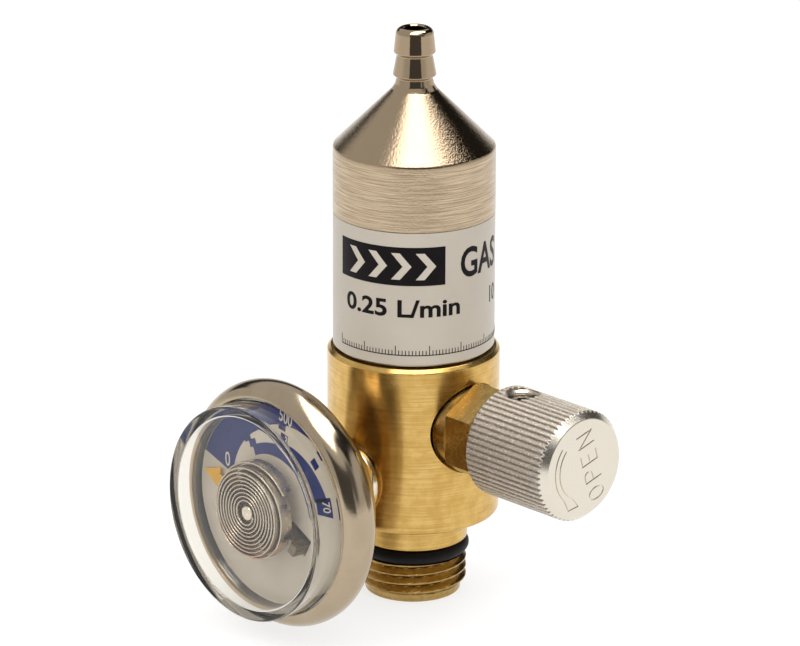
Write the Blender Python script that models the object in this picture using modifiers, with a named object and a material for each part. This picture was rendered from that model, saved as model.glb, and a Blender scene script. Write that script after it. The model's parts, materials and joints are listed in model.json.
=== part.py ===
"""Fixed flow regulator for small gas cylinders.

A turned brass body carries an inlet thread below, a pressure gauge at the front (-Y), an on/off knob
at the side (+X) and a plated bonnet with a hose barb on top (+Z). The main axis is Z, and the inlet
nose ends at Z = 0. Sizes are millimetres until they are handed to Blender, which works in metres.
"""
import math

import bmesh
import bpy
from mathutils import Matrix, Vector

MM = 0.001
GAP = 0.3
FINE_GAP = 0.12
CUT_PAST = 1.0
MERGE = 0.00001

# Number of facets round a turned piece, and round the section of a seal
ROUND = 32
SMALL_ROUND = 24
TINY_ROUND = 16
SEAL_SIDES = 8

# Height of a drill's point as a share of its radius
DRILL_POINT = 0.6

# Inlet nose, thread and seal
NOSE_R = 7.1
NOSE_CHAMFER = 0.35
THREAD_R = 7.94
THREAD_PITCH = 1.411
THREAD_DEPTH = 0.86
THREAD_CREST = 0.18
THREAD_GROOVES = 3
THREAD_TOP_Z = 6.1
GROOVE_R = 5.85
SEAL_SECTION_R = 1.08
SEAL_OUTER_R = 8.35
COLLAR_R = 8.1
COLLAR_Z = 8.4

# Inlet recess, filter and its ring
RECESS_R = 3.3
RECESS_DEPTH = 2.5
FILTER_FACE_Z = 0.3
FILTER_FACE_R = 2.3
FILTER_FLANGE_R = 3.05
FILTER_FLANGE_T = 0.7
RING_T = 0.8
INLET_BORE_R = 1.4

# Body
BODY_R = 12.7
BODY_Z = 12.6
BODY_TOP_Z = 38.2
BODY_EDGE_R = 1.0
BODY_TOP_CHAMFER = 0.55
SPIGOT_R = 9.3
SPIGOT_TOP_Z = 45.0
SPIGOT_CHAMFER = 0.4
PORT_CUTTER_R = BODY_R + 5.0

# Bonnet, one turned piece from its skirt to the hose barb
BONNET_R = 11.9
BONNET_EDGE_R = 0.35
BONNET_BORE_R = 9.65
BONNET_BORE_TOP_Z = 66.0
CONE_BASE_Z = 68.65
CONE_TOP_R = 3.15
CONE_TOP_Z = 77.45
NECK_FLARE = 0.45
BARB_NECK_R = 2.64
BARB_LOWER_R = 3.2
BARB_LOWER_Z = 79.3
BARB_UPPER_R = 3.08
BARB_UPPER_Z = 82.7
BARB_TIP_R = 2.8
BARB_TOP_Z = 86.3
BARB_STEP = 0.4
BARB_ROUND = 0.95
BARB_NECK_TAPER = 0.12
OUTLET_R = 1.45
OUTLET_CHAMFER = 0.2

# Printed label in its shallow recess
LABEL_TOP_Z = 58.75
LABEL_BOTTOM_Z = 38.75
LABEL_T = 0.18
LABEL_ANGLE = 352.0
LABEL_SEAM_ANGLE = 136.0

# Flow orifice at the foot of the outlet
ORIFICE_R = 1.9
ORIFICE_HOLE_R = 0.25
ORIFICE_LENGTH = 2.2
ORIFICE_BASE_Z = 73.7

# Piston, its seals and its seat
PISTON_R = 9.25
PISTON_HEAD_T = 4.4
PISTON_TOP_Z = 60.2
PISTON_TRAVEL = 0.6
PISTON_STEM_R = 2.35
PISTON_BORE_R = 0.6
PISTON_CHAMFER = 0.4
PISTON_NOSE = 0.5
STEM_BORE_R = 2.65
HEAD_SEAL_R = 0.85
STEM_SEAL_R = 0.45
STEM_SEAL_DEPTH = 2.8
STEM_SEAL_Z = SPIGOT_TOP_Z - STEM_SEAL_DEPTH
STEM_GROOVE_PLAY = 0.2
SEAT_POCKET_Z = 33.0
SEAT_T = 1.1
SEAT_HOLE_R = 0.6
SEAT_PLAY = 0.2
SEAT_DRILL_R = 1.0
SEAT_DRILL_DEPTH = 0.8
PASSAGE_R = 0.45
PASSAGE_X = 2.6
PASSAGE_FOOT = 1.2
PASSAGE_HEAD = 0.4
SPRING_WIRE_R = 0.75
SPRING_R = 6.3
SPRING_TURNS = 4.25
SPRING_POINTS_PER_TURN = 12

# On/off valve, along X
KNOB_Z = 28.2
VALVE_SPOT_R = 6.8
VALVE_SPOT_X = 10.5
VALVE_THREAD_R = 5.3
VALVE_THREAD_X = 6.6
VALVE_CHAMBER_R = 3.6
VALVE_SEAT_X = 2.0
VALVE_SEAT_HOLE_R = 0.8
PLUG_R = 1.7
PLUG_LENGTH = 1.0
PLUG_TAPER_R = 0.6
PLUG_TAPER_LENGTH = 0.4
STEM_R = 2.0
STEM_FLANGE_R = 3.2
STEM_FLANGE_T = 0.8
STEM_END_X = 32.0
STEM_CHAMFER = 0.3
VALVE_LIFT = 0.875
PACKING_T = 1.1
NUT_ACROSS_FLATS = 12.7
NUT_COLLAR_R = 6.4
NUT_COLLAR_END_X = 13.3
NUT_END_X = 18.9
NUT_CHAMFER = 0.6
NUT_CHAMFER_WIDTH = 0.96
HEX_CUTTER_WIDTH = 3.0

# Knob
KNOB_BACK_X = 19.42
KNOB_LENGTH = 16.05
KNOB_R = 8.23
KNOB_FACE_R = 7.2
KNOB_FRONT_CHAMFER = 1.15
KNOB_BACK_CHAMFER = 0.3
KNURL_COUNT = 52
KNURL_DEPTH = 0.4
KNURL_CREST_SHARE = 0.36
KNURL_ROOT_SHARE = 0.68
KNOB_SCREW_X = 22.9
KNOB_SCREW_HOLE_R = 2.25
SET_SCREW_R = 1.95
SET_SCREW_TOP_R = 7.0
SET_SCREW_SOCKET_FLATS = 2.0
SET_SCREW_SOCKET_DEPTH = 2.2
SET_SCREW_CHAMFER = 0.3
SET_SCREW_CONE = 0.6

# Pressure gauge, along -Y; distances run outwards from the main axis
GAUGE_Z = 19.9
GAUGE_SPOT_R = 5.7
GAUGE_SPOT_DEPTH = 0.8
GAUGE_SPOT_Y = BODY_R - GAUGE_SPOT_DEPTH
GAUGE_PORT_R = 4.9
GAUGE_PORT_END_Y = 4.6
GAUGE_PASSAGE_R = 1.1
SOCKET_THREAD_R = 4.6
SOCKET_FLATS = 11.2
SOCKET_HEX_END_Y = 18.0
SOCKET_BLOCK_R = 5.6
SOCKET_NECK_R = 3.6
SOCKET_TIP_CHAMFER = 0.6
SOCKET_BLIND_DEPTH = 3.0
SOCKET_BLIND_CONE = 1.0
HUB_PLAY = 0.2
WASHER_R = 5.4
WASHER_T = 1.1
WASHER_PLAY = 0.2
WASHER_CHAMFER = 0.3
CASE_BACK_Y = 18.6
CASE_WALL = 0.7
CASE_BACK_R = 11.5
CASE_SHOULDER = (12.7, 0.8)
CASE_FLANK = (13.7, 2.3)
CASE_LIP_ANGLE = 86.0
CASE_FLANK_ANGLE = -80.0
CASE_BEAD_MID_R = 16.0
CASE_BEAD_RADIAL = 2.45
CASE_BEAD_AXIAL = 3.1
CASE_BEAD_Y = 26.4
LENS_R = 15.95
LENS_WALL = 1.65
LENS_WINDOW_T = 0.95
LENS_FRONT_Y = 34.0
LENS_EDGE_R = 0.7
LENS_CORNER = 0.5
LENS_FLANGE_R = 16.4
LENS_FLANGE_T = 0.45
DIAL_R = 15.5
DIAL_T = 0.4
DIAL_HOLE_R = 1.6
DIAL_SLOT_R = 6.8
DIAL_SLOT_ANGLE = -28.0
DIAL_SLOT_WIDTH = 3.6
DIAL_SLOT_LENGTH = 6.0
TUBE_INNER_R = 1.45
TUBE_PITCH = 0.73
TUBE_TURNS = 7.9
TUBE_T = 0.36
TUBE_DEPTH = 3.9
TUBE_STRIP_WIDTH = 2.1
TUBE_FLAT_TURNS = 5.0
TUBE_STEP_BACK = 0.6
TUBE_STEPS_PER_TURN = 18
TUBE_END_LEAD = 11.5
HUB_R = 1.15
HUB_SHAFT_R = 0.55
HUB_SHAFT_DEPTH = 2.6
HUB_RECESS = 0.2
POINTER_R = 13.8
POINTER_ANGLE = 170.5
POINTER_T = 0.3
POINTER_HEAD = 3.4
POINTER_HEAD_WIDTH = 3.4
POINTER_ARM_WIDTH = 1.1
POINTER_BOSS_R = 1.5
POST_WIDTH = 1.8
POST_DEPTH = 1.3
POST_FOOT = 1.4
POST_FOOT_T = 0.5
POST_HEIGHT = 1.6

# Planes of the gauge that follow from one another, from the case's lip inwards
LIP_INNER_Y = CASE_BEAD_Y + CASE_BEAD_AXIAL - CASE_WALL
LENS_BASE_Y = LIP_INNER_Y - FINE_GAP - LENS_FLANGE_T
DIAL_FRONT_Y = LENS_BASE_Y - FINE_GAP
SOCKET_FRONT_Y = DIAL_FRONT_Y - DIAL_T - GAP
POINTER_BACK_Y = DIAL_FRONT_Y + GAP
TUBE_BASE_Y = POINTER_BACK_Y + POINTER_T + GAP

# Finishes: linear colour, roughness, metallic
FINISHES = {
    "nickel": ((0.55, 0.49, 0.40), 0.22, 1.0),
    "brass": ((0.62, 0.42, 0.13), 0.34, 1.0),
    "brass_dark": ((0.40, 0.26, 0.08), 0.40, 1.0),
    "aluminium": ((0.60, 0.57, 0.53), 0.45, 1.0),
    "steel": ((0.42, 0.41, 0.40), 0.35, 1.0),
    "bronze": ((0.45, 0.30, 0.17), 0.80, 0.6),
    "black_rubber": ((0.01, 0.009, 0.008), 0.45, 0.0),
    "white_nylon": ((0.70, 0.68, 0.62), 0.50, 0.0),
    "label_film": ((0.50, 0.47, 0.43), 0.35, 0.0),
    "dial_paint": ((0.55, 0.50, 0.43), 0.40, 0.0),
    "clear_acrylic": ((0.90, 0.91, 0.90), 0.05, 0.0),
    "tube_bronze": ((0.50, 0.42, 0.32), 0.30, 1.0),
    "yellow_paint": ((0.72, 0.45, 0.09), 0.40, 0.0),
}


def clear_scene():
    for obj in list(bpy.data.objects):
        bpy.data.objects.remove(obj, do_unlink=True)


def new_collection(name):
    collection = bpy.data.collections.new(name)
    bpy.context.scene.collection.children.link(collection)
    return collection


clear_scene()
PARTS = new_collection("flow_regulator")
CUTTERS = new_collection("cutters")


def finish(name, kind):
    """Material of its own for one piece."""
    colour, roughness, metallic = FINISHES[kind]
    material = bpy.data.materials.new(name + "_" + kind)
    material.use_nodes = True
    shader = material.node_tree.nodes["Principled BSDF"]
    shader.inputs["Base Color"].default_value = (*colour, 1.0)
    shader.inputs["Roughness"].default_value = roughness
    shader.inputs["Metallic"].default_value = metallic
    return material


def add_object(name, mesh, kind=None, parent=None):
    """Links a mesh as a part, or as a hidden cutter when it has no finish."""
    obj = bpy.data.objects.new(name, mesh)
    obj.parent = parent
    if kind is None:
        CUTTERS.objects.link(obj)
        obj.hide_render = True
        obj.display_type = "WIRE"
    else:
        PARTS.objects.link(obj)
        mesh.materials.append(finish(name, kind))
    return obj


def axis_empty(name, position, rotation):
    """Empty whose local Z runs along an axis of the regulator."""
    empty = bpy.data.objects.new(name, None)
    empty.location = [value * MM for value in position]
    empty.rotation_euler = rotation
    PARTS.objects.link(empty)
    return empty


def arc(centre_r, centre_z, radius, start, end, count, radius_z=None):
    """Points of a round stretch of a profile, from start to end in degrees from the outward direction."""
    height = radius if radius_z is None else radius_z
    points = []
    for index in range(count + 1):
        angle = math.radians(start + (end - start) * index / count)
        points.append((centre_r + radius * math.cos(angle), centre_z + height * math.sin(angle)))
    return points


def turned(name, profile, kind=None, parent=None, closed=False, steps=ROUND, angle=360.0):
    """Revolves a profile of (radius, height) that runs down its outer side."""
    mesh = bpy.data.meshes.new(name)
    points = [(radius * MM, 0.0, height * MM) for radius, height in profile]
    edges = [(index, index + 1) for index in range(len(points) - 1)]
    if closed:
        edges.append((len(points) - 1, 0))
    mesh.from_pydata(points, edges, [])
    obj = add_object(name, mesh, kind, parent)
    screw = obj.modifiers.new("turn", "SCREW")
    screw.axis = "Z"
    screw.angle = math.radians(angle)
    screw.steps = steps
    screw.render_steps = steps
    screw.use_merge_vertices = True
    screw.merge_threshold = MERGE
    screw.use_smooth_shade = True
    return obj


def plate(name, outlines, thickness, kind=None, parent=None):
    """Flat outlines in local XY, filled and given their thickness about local Z = 0."""
    curve = bpy.data.curves.new(name, "CURVE")
    curve.dimensions = "2D"
    curve.fill_mode = "BOTH"
    curve.extrude = thickness * MM / 2
    curve.resolution_u = 1
    curve.render_resolution_u = 0
    for outline in outlines:
        spline = curve.splines.new("POLY")
        spline.points.add(len(outline) - 1)
        for point, (x, y) in zip(spline.points, outline):
            point.co = (x * MM, y * MM, 0.0, 1.0)
        spline.use_cyclic_u = True
    source = bpy.data.objects.new(name + "_outline", curve)
    PARTS.objects.link(source)
    return curve_to_mesh(source, name, kind, parent)


def curve_to_mesh(source, name, kind, parent=None):
    """Replaces a curve object by a mesh whose caps are welded."""
    depsgraph = bpy.context.evaluated_depsgraph_get()
    mesh = bpy.data.meshes.new_from_object(source.evaluated_get(depsgraph))
    welded = bmesh.new()
    welded.from_mesh(mesh)
    bmesh.ops.remove_doubles(welded, verts=welded.verts, dist=MERGE)
    welded.to_mesh(mesh)
    welded.free()
    mesh.materials.clear()
    curve = source.data
    bpy.data.objects.remove(source, do_unlink=True)
    bpy.data.curves.remove(curve)
    mesh.name = name
    return add_object(name, mesh, kind, parent)


def skinned(name, sections, kind=None, parent=None, loop=False):
    """Joins a row of equal closed sections, with the two end sections filled unless they loop."""
    shape = bmesh.new()
    rings = [[shape.verts.new(Vector(point) * MM) for point in section] for section in sections]
    pairs = list(zip(rings, rings[1:]))
    if loop:
        pairs.append((rings[-1], rings[0]))
    for first, second in pairs:
        count = len(first)
        for index in range(count):
            after = (index + 1) % count
            shape.faces.new((first[index], first[after], second[after], second[index]))
    if not loop:
        shape.faces.new(reversed(rings[0]))
        shape.faces.new(rings[-1])
    bmesh.ops.recalc_face_normals(shape, faces=shape.faces)
    mesh = bpy.data.meshes.new(name)
    shape.to_mesh(mesh)
    shape.free()
    return add_object(name, mesh, kind, parent)


def inward_wall(obj, thickness):
    """Gives an open surface its wall, inwards from the face that was drawn."""
    wall = obj.modifiers.new("wall", "SOLIDIFY")
    wall.thickness = thickness * MM
    wall.offset = -1.0
    wall.use_even_offset = True


def cut(obj, cutter):
    boolean = obj.modifiers.new(cutter.name, "BOOLEAN")
    boolean.operation = "DIFFERENCE"
    boolean.solver = "EXACT"
    boolean.object = cutter


def hexagon(across_flats, first_angle):
    """Corners of a hexagon, the first at an angle in degrees."""
    corner = across_flats / math.sqrt(3)
    angles = [math.radians(first_angle + 60 * index) for index in range(6)]
    return [(corner * math.cos(angle), corner * math.sin(angle)) for angle in angles]


def hex_waste(name, across_flats, start, end, parent, first_angle=0.0):
    """Cutter that leaves a hexagon: a thick ring with a hexagonal hole between two heights."""
    outer_radius = across_flats / math.sqrt(3) + HEX_CUTTER_WIDTH
    middle = (start + end) / 2
    length = end - start
    ring = turned(name, [(0.0, end), (outer_radius, end), (outer_radius, start), (0.0, start)], None, parent)
    core = plate(name + "_core", [hexagon(across_flats, first_angle)], length + 2 * GAP, None, parent)
    core.location = (0.0, 0.0, middle * MM)
    cut(ring, core)
    return ring


# The two side axes: local Z of each runs outwards from the main axis
VALVE_AXIS = axis_empty("valve_axis", (0.0, 0.0, KNOB_Z), (0.0, math.radians(90), 0.0))
GAUGE_AXIS = axis_empty("gauge_axis", (0.0, 0.0, GAUGE_Z), (math.radians(90), 0.0, 0.0))
POINTER_AXIS = axis_empty("pointer_axis", (0.0, 0.0, GAUGE_Z), (math.radians(90), 0.0, 0.0))


def thread_profile():
    """Grooves of the inlet thread from its top crest down, ending in the lead-in."""
    points = [(THREAD_R, THREAD_TOP_Z)]
    for index in range(THREAD_GROOVES):
        crest = THREAD_TOP_Z - THREAD_CREST - index * THREAD_PITCH
        root = crest - (THREAD_PITCH - THREAD_CREST) / 2
        lead = THREAD_R if index < THREAD_GROOVES - 1 else (THREAD_R + NOSE_R) / 2
        points.append((THREAD_R, crest))
        points.append((THREAD_R - THREAD_DEPTH, root))
        points.append((lead, root - (THREAD_PITCH - THREAD_CREST) / 2))
    return points


def valve_body():
    """Turned brass body with its inlet, gauge port, valve port and piston bore."""
    lead_end_z = THREAD_TOP_Z - THREAD_GROOVES * THREAD_PITCH - THREAD_CREST
    profile = [
        (0.0, SEAT_POCKET_Z - SEAT_DRILL_DEPTH),
        (SEAT_DRILL_R, SEAT_POCKET_Z - SEAT_DRILL_DEPTH),
        (SEAT_DRILL_R, SEAT_POCKET_Z),
        (STEM_BORE_R, SEAT_POCKET_Z),
        (STEM_BORE_R, SPIGOT_TOP_Z),
        (SPIGOT_R - SPIGOT_CHAMFER, SPIGOT_TOP_Z),
        (SPIGOT_R, SPIGOT_TOP_Z - SPIGOT_CHAMFER),
        (SPIGOT_R, BODY_TOP_Z),
        (BODY_R - BODY_TOP_CHAMFER, BODY_TOP_Z),
        (BODY_R, BODY_TOP_Z - BODY_TOP_CHAMFER),
    ]
    profile += arc(BODY_R - BODY_EDGE_R, BODY_Z + BODY_EDGE_R, BODY_EDGE_R, 0, -90, 3)
    profile += [(COLLAR_R, BODY_Z), (COLLAR_R, COLLAR_Z), (GROOVE_R, COLLAR_Z), (GROOVE_R, THREAD_TOP_Z)]
    profile += thread_profile()
    profile += [
        (NOSE_R, lead_end_z - GAP),
        (NOSE_R, NOSE_CHAMFER),
        (NOSE_R - NOSE_CHAMFER, 0.0),
        (RECESS_R, 0.0),
        (RECESS_R, RECESS_DEPTH),
        (INLET_BORE_R, RECESS_DEPTH),
        (INLET_BORE_R, KNOB_Z),
        (0.0, KNOB_Z + INLET_BORE_R * DRILL_POINT),
    ]
    body = turned("valve_body", profile, "brass")

    valve_port = turned("valve_port", [
        (0.0, PORT_CUTTER_R),
        (VALVE_SPOT_R, PORT_CUTTER_R),
        (VALVE_SPOT_R, VALVE_SPOT_X),
        (VALVE_THREAD_R, VALVE_SPOT_X),
        (VALVE_THREAD_R, VALVE_THREAD_X),
        (VALVE_CHAMBER_R, VALVE_THREAD_X),
        (VALVE_CHAMBER_R, VALVE_SEAT_X),
        (VALVE_SEAT_HOLE_R, VALVE_SEAT_X),
        (VALVE_SEAT_HOLE_R, 0.0),
        (0.0, 0.0),
    ], None, VALVE_AXIS, steps=SMALL_ROUND)
    gauge_port = turned("gauge_port", [
        (0.0, PORT_CUTTER_R),
        (GAUGE_SPOT_R, PORT_CUTTER_R),
        (GAUGE_SPOT_R, GAUGE_SPOT_Y),
        (GAUGE_PORT_R, GAUGE_SPOT_Y),
        (GAUGE_PORT_R, GAUGE_PORT_END_Y),
        (GAUGE_PASSAGE_R, GAUGE_PORT_END_Y),
        (GAUGE_PASSAGE_R, 0.0),
        (0.0, 0.0),
    ], None, GAUGE_AXIS, steps=SMALL_ROUND)
    cut(body, valve_port)
    cut(body, gauge_port)
    cut(body, transfer_passage())
    return body


def transfer_passage():
    """Slanted drilling from the valve chamber up to the piston seat."""
    chamber_end = Vector((VALVE_SEAT_X + PASSAGE_X, 0.0, KNOB_Z + VALVE_CHAMBER_R - PASSAGE_FOOT))
    seat_end = Vector((0.0, 0.0, SEAT_POCKET_Z - PASSAGE_HEAD))
    along = seat_end - chamber_end
    drill = turned("transfer_drill", [
        (0.0, along.length / 2),
        (PASSAGE_R, along.length / 2),
        (PASSAGE_R, -along.length / 2),
        (0.0, -along.length / 2),
    ], steps=TINY_ROUND)
    drill.rotation_euler = along.to_track_quat("Z", "Y").to_euler()
    drill.location = (chamber_end + seat_end) / 2 * MM
    return drill


def ring_seal(name, centre_r, section_r, height, kind):
    """Round ring of circular section."""
    section = arc(centre_r, height, section_r, 90, -270, SEAL_SIDES)[:-1]
    return turned(name, section, kind, closed=True, steps=SMALL_ROUND)


def inlet_filter():
    flange_bottom = FILTER_FACE_Z + RING_T + GAP
    turned("inlet_filter", [
        (0.0, flange_bottom + FILTER_FLANGE_T),
        (FILTER_FLANGE_R, flange_bottom + FILTER_FLANGE_T),
        (FILTER_FLANGE_R, flange_bottom),
        (FILTER_FACE_R, flange_bottom),
        (FILTER_FACE_R, FILTER_FACE_Z),
        (0.0, FILTER_FACE_Z),
    ], "bronze", steps=SMALL_ROUND)
    turned("filter_ring", [
        (FILTER_FACE_R + FINE_GAP, FILTER_FACE_Z + RING_T),
        (RECESS_R - FINE_GAP, FILTER_FACE_Z + RING_T),
        (RECESS_R - FINE_GAP, FILTER_FACE_Z),
        (FILTER_FACE_R + FINE_GAP, FILTER_FACE_Z),
    ], "steel", closed=True, steps=SMALL_ROUND)


def bonnet():
    """Plated bonnet: skirt over the piston, 45 degree cone, neck and two-step hose barb."""
    recess_r = BONNET_R - LABEL_T - FINE_GAP
    bottom_z = BODY_TOP_Z + GAP
    profile = [
        (OUTLET_R, BARB_TOP_Z - OUTLET_CHAMFER),
        (OUTLET_R + OUTLET_CHAMFER, BARB_TOP_Z),
    ]
    profile += arc(BARB_TIP_R - BARB_ROUND, BARB_TOP_Z - BARB_ROUND, BARB_ROUND, 75, 0, 4)
    profile += [
        (BARB_UPPER_R, BARB_UPPER_Z),
        (BARB_NECK_R, BARB_UPPER_Z - BARB_STEP),
        (BARB_LOWER_R, BARB_LOWER_Z),
        (BARB_NECK_R, BARB_LOWER_Z - BARB_STEP),
        (BARB_NECK_R + BARB_NECK_TAPER, CONE_TOP_Z + NECK_FLARE),
        (CONE_TOP_R, CONE_TOP_Z),
        (BONNET_R - BONNET_EDGE_R, CONE_BASE_Z + BONNET_EDGE_R),
        (BONNET_R, CONE_BASE_Z - BONNET_EDGE_R),
        (BONNET_R, LABEL_TOP_Z + FINE_GAP),
        (recess_r, LABEL_TOP_Z + FINE_GAP),
        (recess_r, bottom_z),
        (BONNET_BORE_R, bottom_z),
        (BONNET_BORE_R, BONNET_BORE_TOP_Z),
        (ORIFICE_R + GAP, ORIFICE_BASE_Z - GAP),
        (ORIFICE_R + GAP, ORIFICE_BASE_Z + ORIFICE_LENGTH + GAP),
        (OUTLET_R, ORIFICE_BASE_Z + ORIFICE_LENGTH + GAP),
    ]
    turned("bonnet", profile, "nickel", closed=True)
    turned("flow_orifice", [
        (ORIFICE_HOLE_R, ORIFICE_BASE_Z + ORIFICE_LENGTH),
        (ORIFICE_R, ORIFICE_BASE_Z + ORIFICE_LENGTH),
        (ORIFICE_R, ORIFICE_BASE_Z),
        (ORIFICE_HOLE_R, ORIFICE_BASE_Z),
    ], "brass", closed=True, steps=TINY_ROUND)


def bonnet_label():
    """Thin printed film, wrapped until its ends nearly meet at the back."""
    film = turned("bonnet_label", [
        (BONNET_R, LABEL_TOP_Z),
        (BONNET_R, LABEL_BOTTOM_Z),
    ], "label_film", steps=ROUND, angle=LABEL_ANGLE)
    film.rotation_euler = (0.0, 0.0, math.radians(LABEL_SEAM_ANGLE + (360.0 - LABEL_ANGLE) / 2))
    inward_wall(film, LABEL_T)


def piston():
    """Regulating piston: wide head above its spring, bored stem that closes on the seat."""
    seat_top = SEAT_POCKET_Z + GAP + SEAT_T
    bottom = seat_top + PISTON_TRAVEL + GAP
    head_bottom = PISTON_TOP_Z - PISTON_HEAD_T
    head_mid = PISTON_TOP_Z - PISTON_HEAD_T / 2
    head_groove_r = BONNET_BORE_R - GAP - 2 * HEAD_SEAL_R - GAP
    stem_groove_r = STEM_BORE_R - FINE_GAP - 2 * STEM_SEAL_R - FINE_GAP
    head_half = HEAD_SEAL_R + GAP
    stem_half = STEM_SEAL_R + STEM_GROOVE_PLAY
    turned("piston", [
        (PISTON_BORE_R, PISTON_TOP_Z),
        (PISTON_R - PISTON_CHAMFER, PISTON_TOP_Z),
        (PISTON_R, PISTON_TOP_Z - PISTON_CHAMFER),
        (PISTON_R, head_mid + head_half),
        (head_groove_r, head_mid + head_half),
        (head_groove_r, head_mid - head_half),
        (PISTON_R, head_mid - head_half),
        (PISTON_R, head_bottom),
        (PISTON_STEM_R, head_bottom),
        (PISTON_STEM_R, STEM_SEAL_Z + stem_half),
        (stem_groove_r, STEM_SEAL_Z + stem_half),
        (stem_groove_r, STEM_SEAL_Z - stem_half),
        (PISTON_STEM_R, STEM_SEAL_Z - stem_half),
        (PISTON_STEM_R, bottom + PISTON_NOSE),
        (PISTON_STEM_R - PISTON_NOSE, bottom),
        (PISTON_BORE_R, bottom),
    ], "brass", closed=True, steps=SMALL_ROUND)
    head_seal_r = BONNET_BORE_R - GAP - HEAD_SEAL_R
    ring_seal("piston_head_seal", head_seal_r, HEAD_SEAL_R, head_mid, "black_rubber")
    stem_seal_r = STEM_BORE_R - FINE_GAP - STEM_SEAL_R
    ring_seal("piston_stem_seal", stem_seal_r, STEM_SEAL_R, STEM_SEAL_Z, "black_rubber")
    turned("piston_seat", [
        (SEAT_HOLE_R, seat_top),
        (STEM_BORE_R - SEAT_PLAY, seat_top),
        (STEM_BORE_R - SEAT_PLAY, SEAT_POCKET_Z + GAP),
        (SEAT_HOLE_R, SEAT_POCKET_Z + GAP),
    ], "white_nylon", closed=True, steps=TINY_ROUND)


def regulating_spring():
    """Compression spring between the body's spigot and the piston's head."""
    start_z = SPIGOT_TOP_Z + GAP + SPRING_WIRE_R
    end_z = PISTON_TOP_Z - PISTON_HEAD_T - GAP - SPRING_WIRE_R
    count = round(SPRING_TURNS * SPRING_POINTS_PER_TURN)
    curve = bpy.data.curves.new("regulating_spring", "CURVE")
    curve.dimensions = "3D"
    curve.bevel_depth = SPRING_WIRE_R * MM
    curve.bevel_resolution = 1
    curve.use_fill_caps = True
    curve.render_resolution_u = 0
    spline = curve.splines.new("POLY")
    spline.points.add(count)
    for index, point in enumerate(spline.points):
        share = index / count
        angle = 2 * math.pi * SPRING_TURNS * share
        height = start_z + (end_z - start_z) * share
        place = (SPRING_R * math.cos(angle), SPRING_R * math.sin(angle), height)
        point.co = (*[value * MM for value in place], 1.0)
    source = bpy.data.objects.new("spring_path", curve)
    PARTS.objects.link(source)
    curve_to_mesh(source, "regulating_spring", "steel")


def valve_parts():
    """Plug, screwed stem, packing ring and hexagonal packing nut on the valve axis."""
    plug_start = VALVE_SEAT_X + GAP
    plug_end = plug_start + PLUG_LENGTH
    turned("seat_plug", [
        (0.0, plug_end),
        (PLUG_R, plug_end),
        (PLUG_R, plug_start + PLUG_TAPER_LENGTH),
        (PLUG_R - PLUG_TAPER_R, plug_start),
        (0.0, plug_start),
    ], "white_nylon", VALVE_AXIS, steps=TINY_ROUND)
    flange_start = plug_end + GAP
    flange_end = flange_start + STEM_FLANGE_T
    turned("valve_stem", [
        (0.0, STEM_END_X),
        (STEM_R - STEM_CHAMFER, STEM_END_X),
        (STEM_R, STEM_END_X - STEM_CHAMFER),
        (STEM_R, flange_end),
        (STEM_FLANGE_R, flange_end),
        (STEM_FLANGE_R, flange_start),
        (0.0, flange_start),
    ], "brass", VALVE_AXIS, steps=TINY_ROUND)
    packing_start = flange_end + VALVE_LIFT + GAP
    packing_end = packing_start + PACKING_T
    turned("stem_packing", [
        (STEM_R + FINE_GAP, packing_end),
        (VALVE_CHAMBER_R - GAP, packing_end),
        (VALVE_CHAMBER_R - GAP, packing_start),
        (STEM_R + FINE_GAP, packing_start),
    ], "white_nylon", VALVE_AXIS, closed=True, steps=TINY_ROUND)
    nut_start = max(packing_end, VALVE_THREAD_X) + GAP
    corner_r = NUT_ACROSS_FLATS / math.sqrt(3)
    nut = turned("packing_nut", [
        (STEM_R + FINE_GAP, NUT_END_X),
        (corner_r - NUT_CHAMFER_WIDTH, NUT_END_X),
        (corner_r, NUT_END_X - NUT_CHAMFER),
        (corner_r, NUT_COLLAR_END_X + NUT_CHAMFER),
        (NUT_COLLAR_R, NUT_COLLAR_END_X),
        (NUT_COLLAR_R, VALVE_SPOT_X + GAP),
        (VALVE_THREAD_R - GAP, VALVE_SPOT_X + GAP),
        (VALVE_THREAD_R - GAP, nut_start),
        (STEM_R + FINE_GAP, nut_start),
    ], "brass_dark", VALVE_AXIS, closed=True, steps=SMALL_ROUND)
    flats = hex_waste("nut_flats", NUT_ACROSS_FLATS, NUT_COLLAR_END_X + GAP, NUT_END_X + CUT_PAST, VALVE_AXIS)
    cut(nut, flats)


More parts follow.
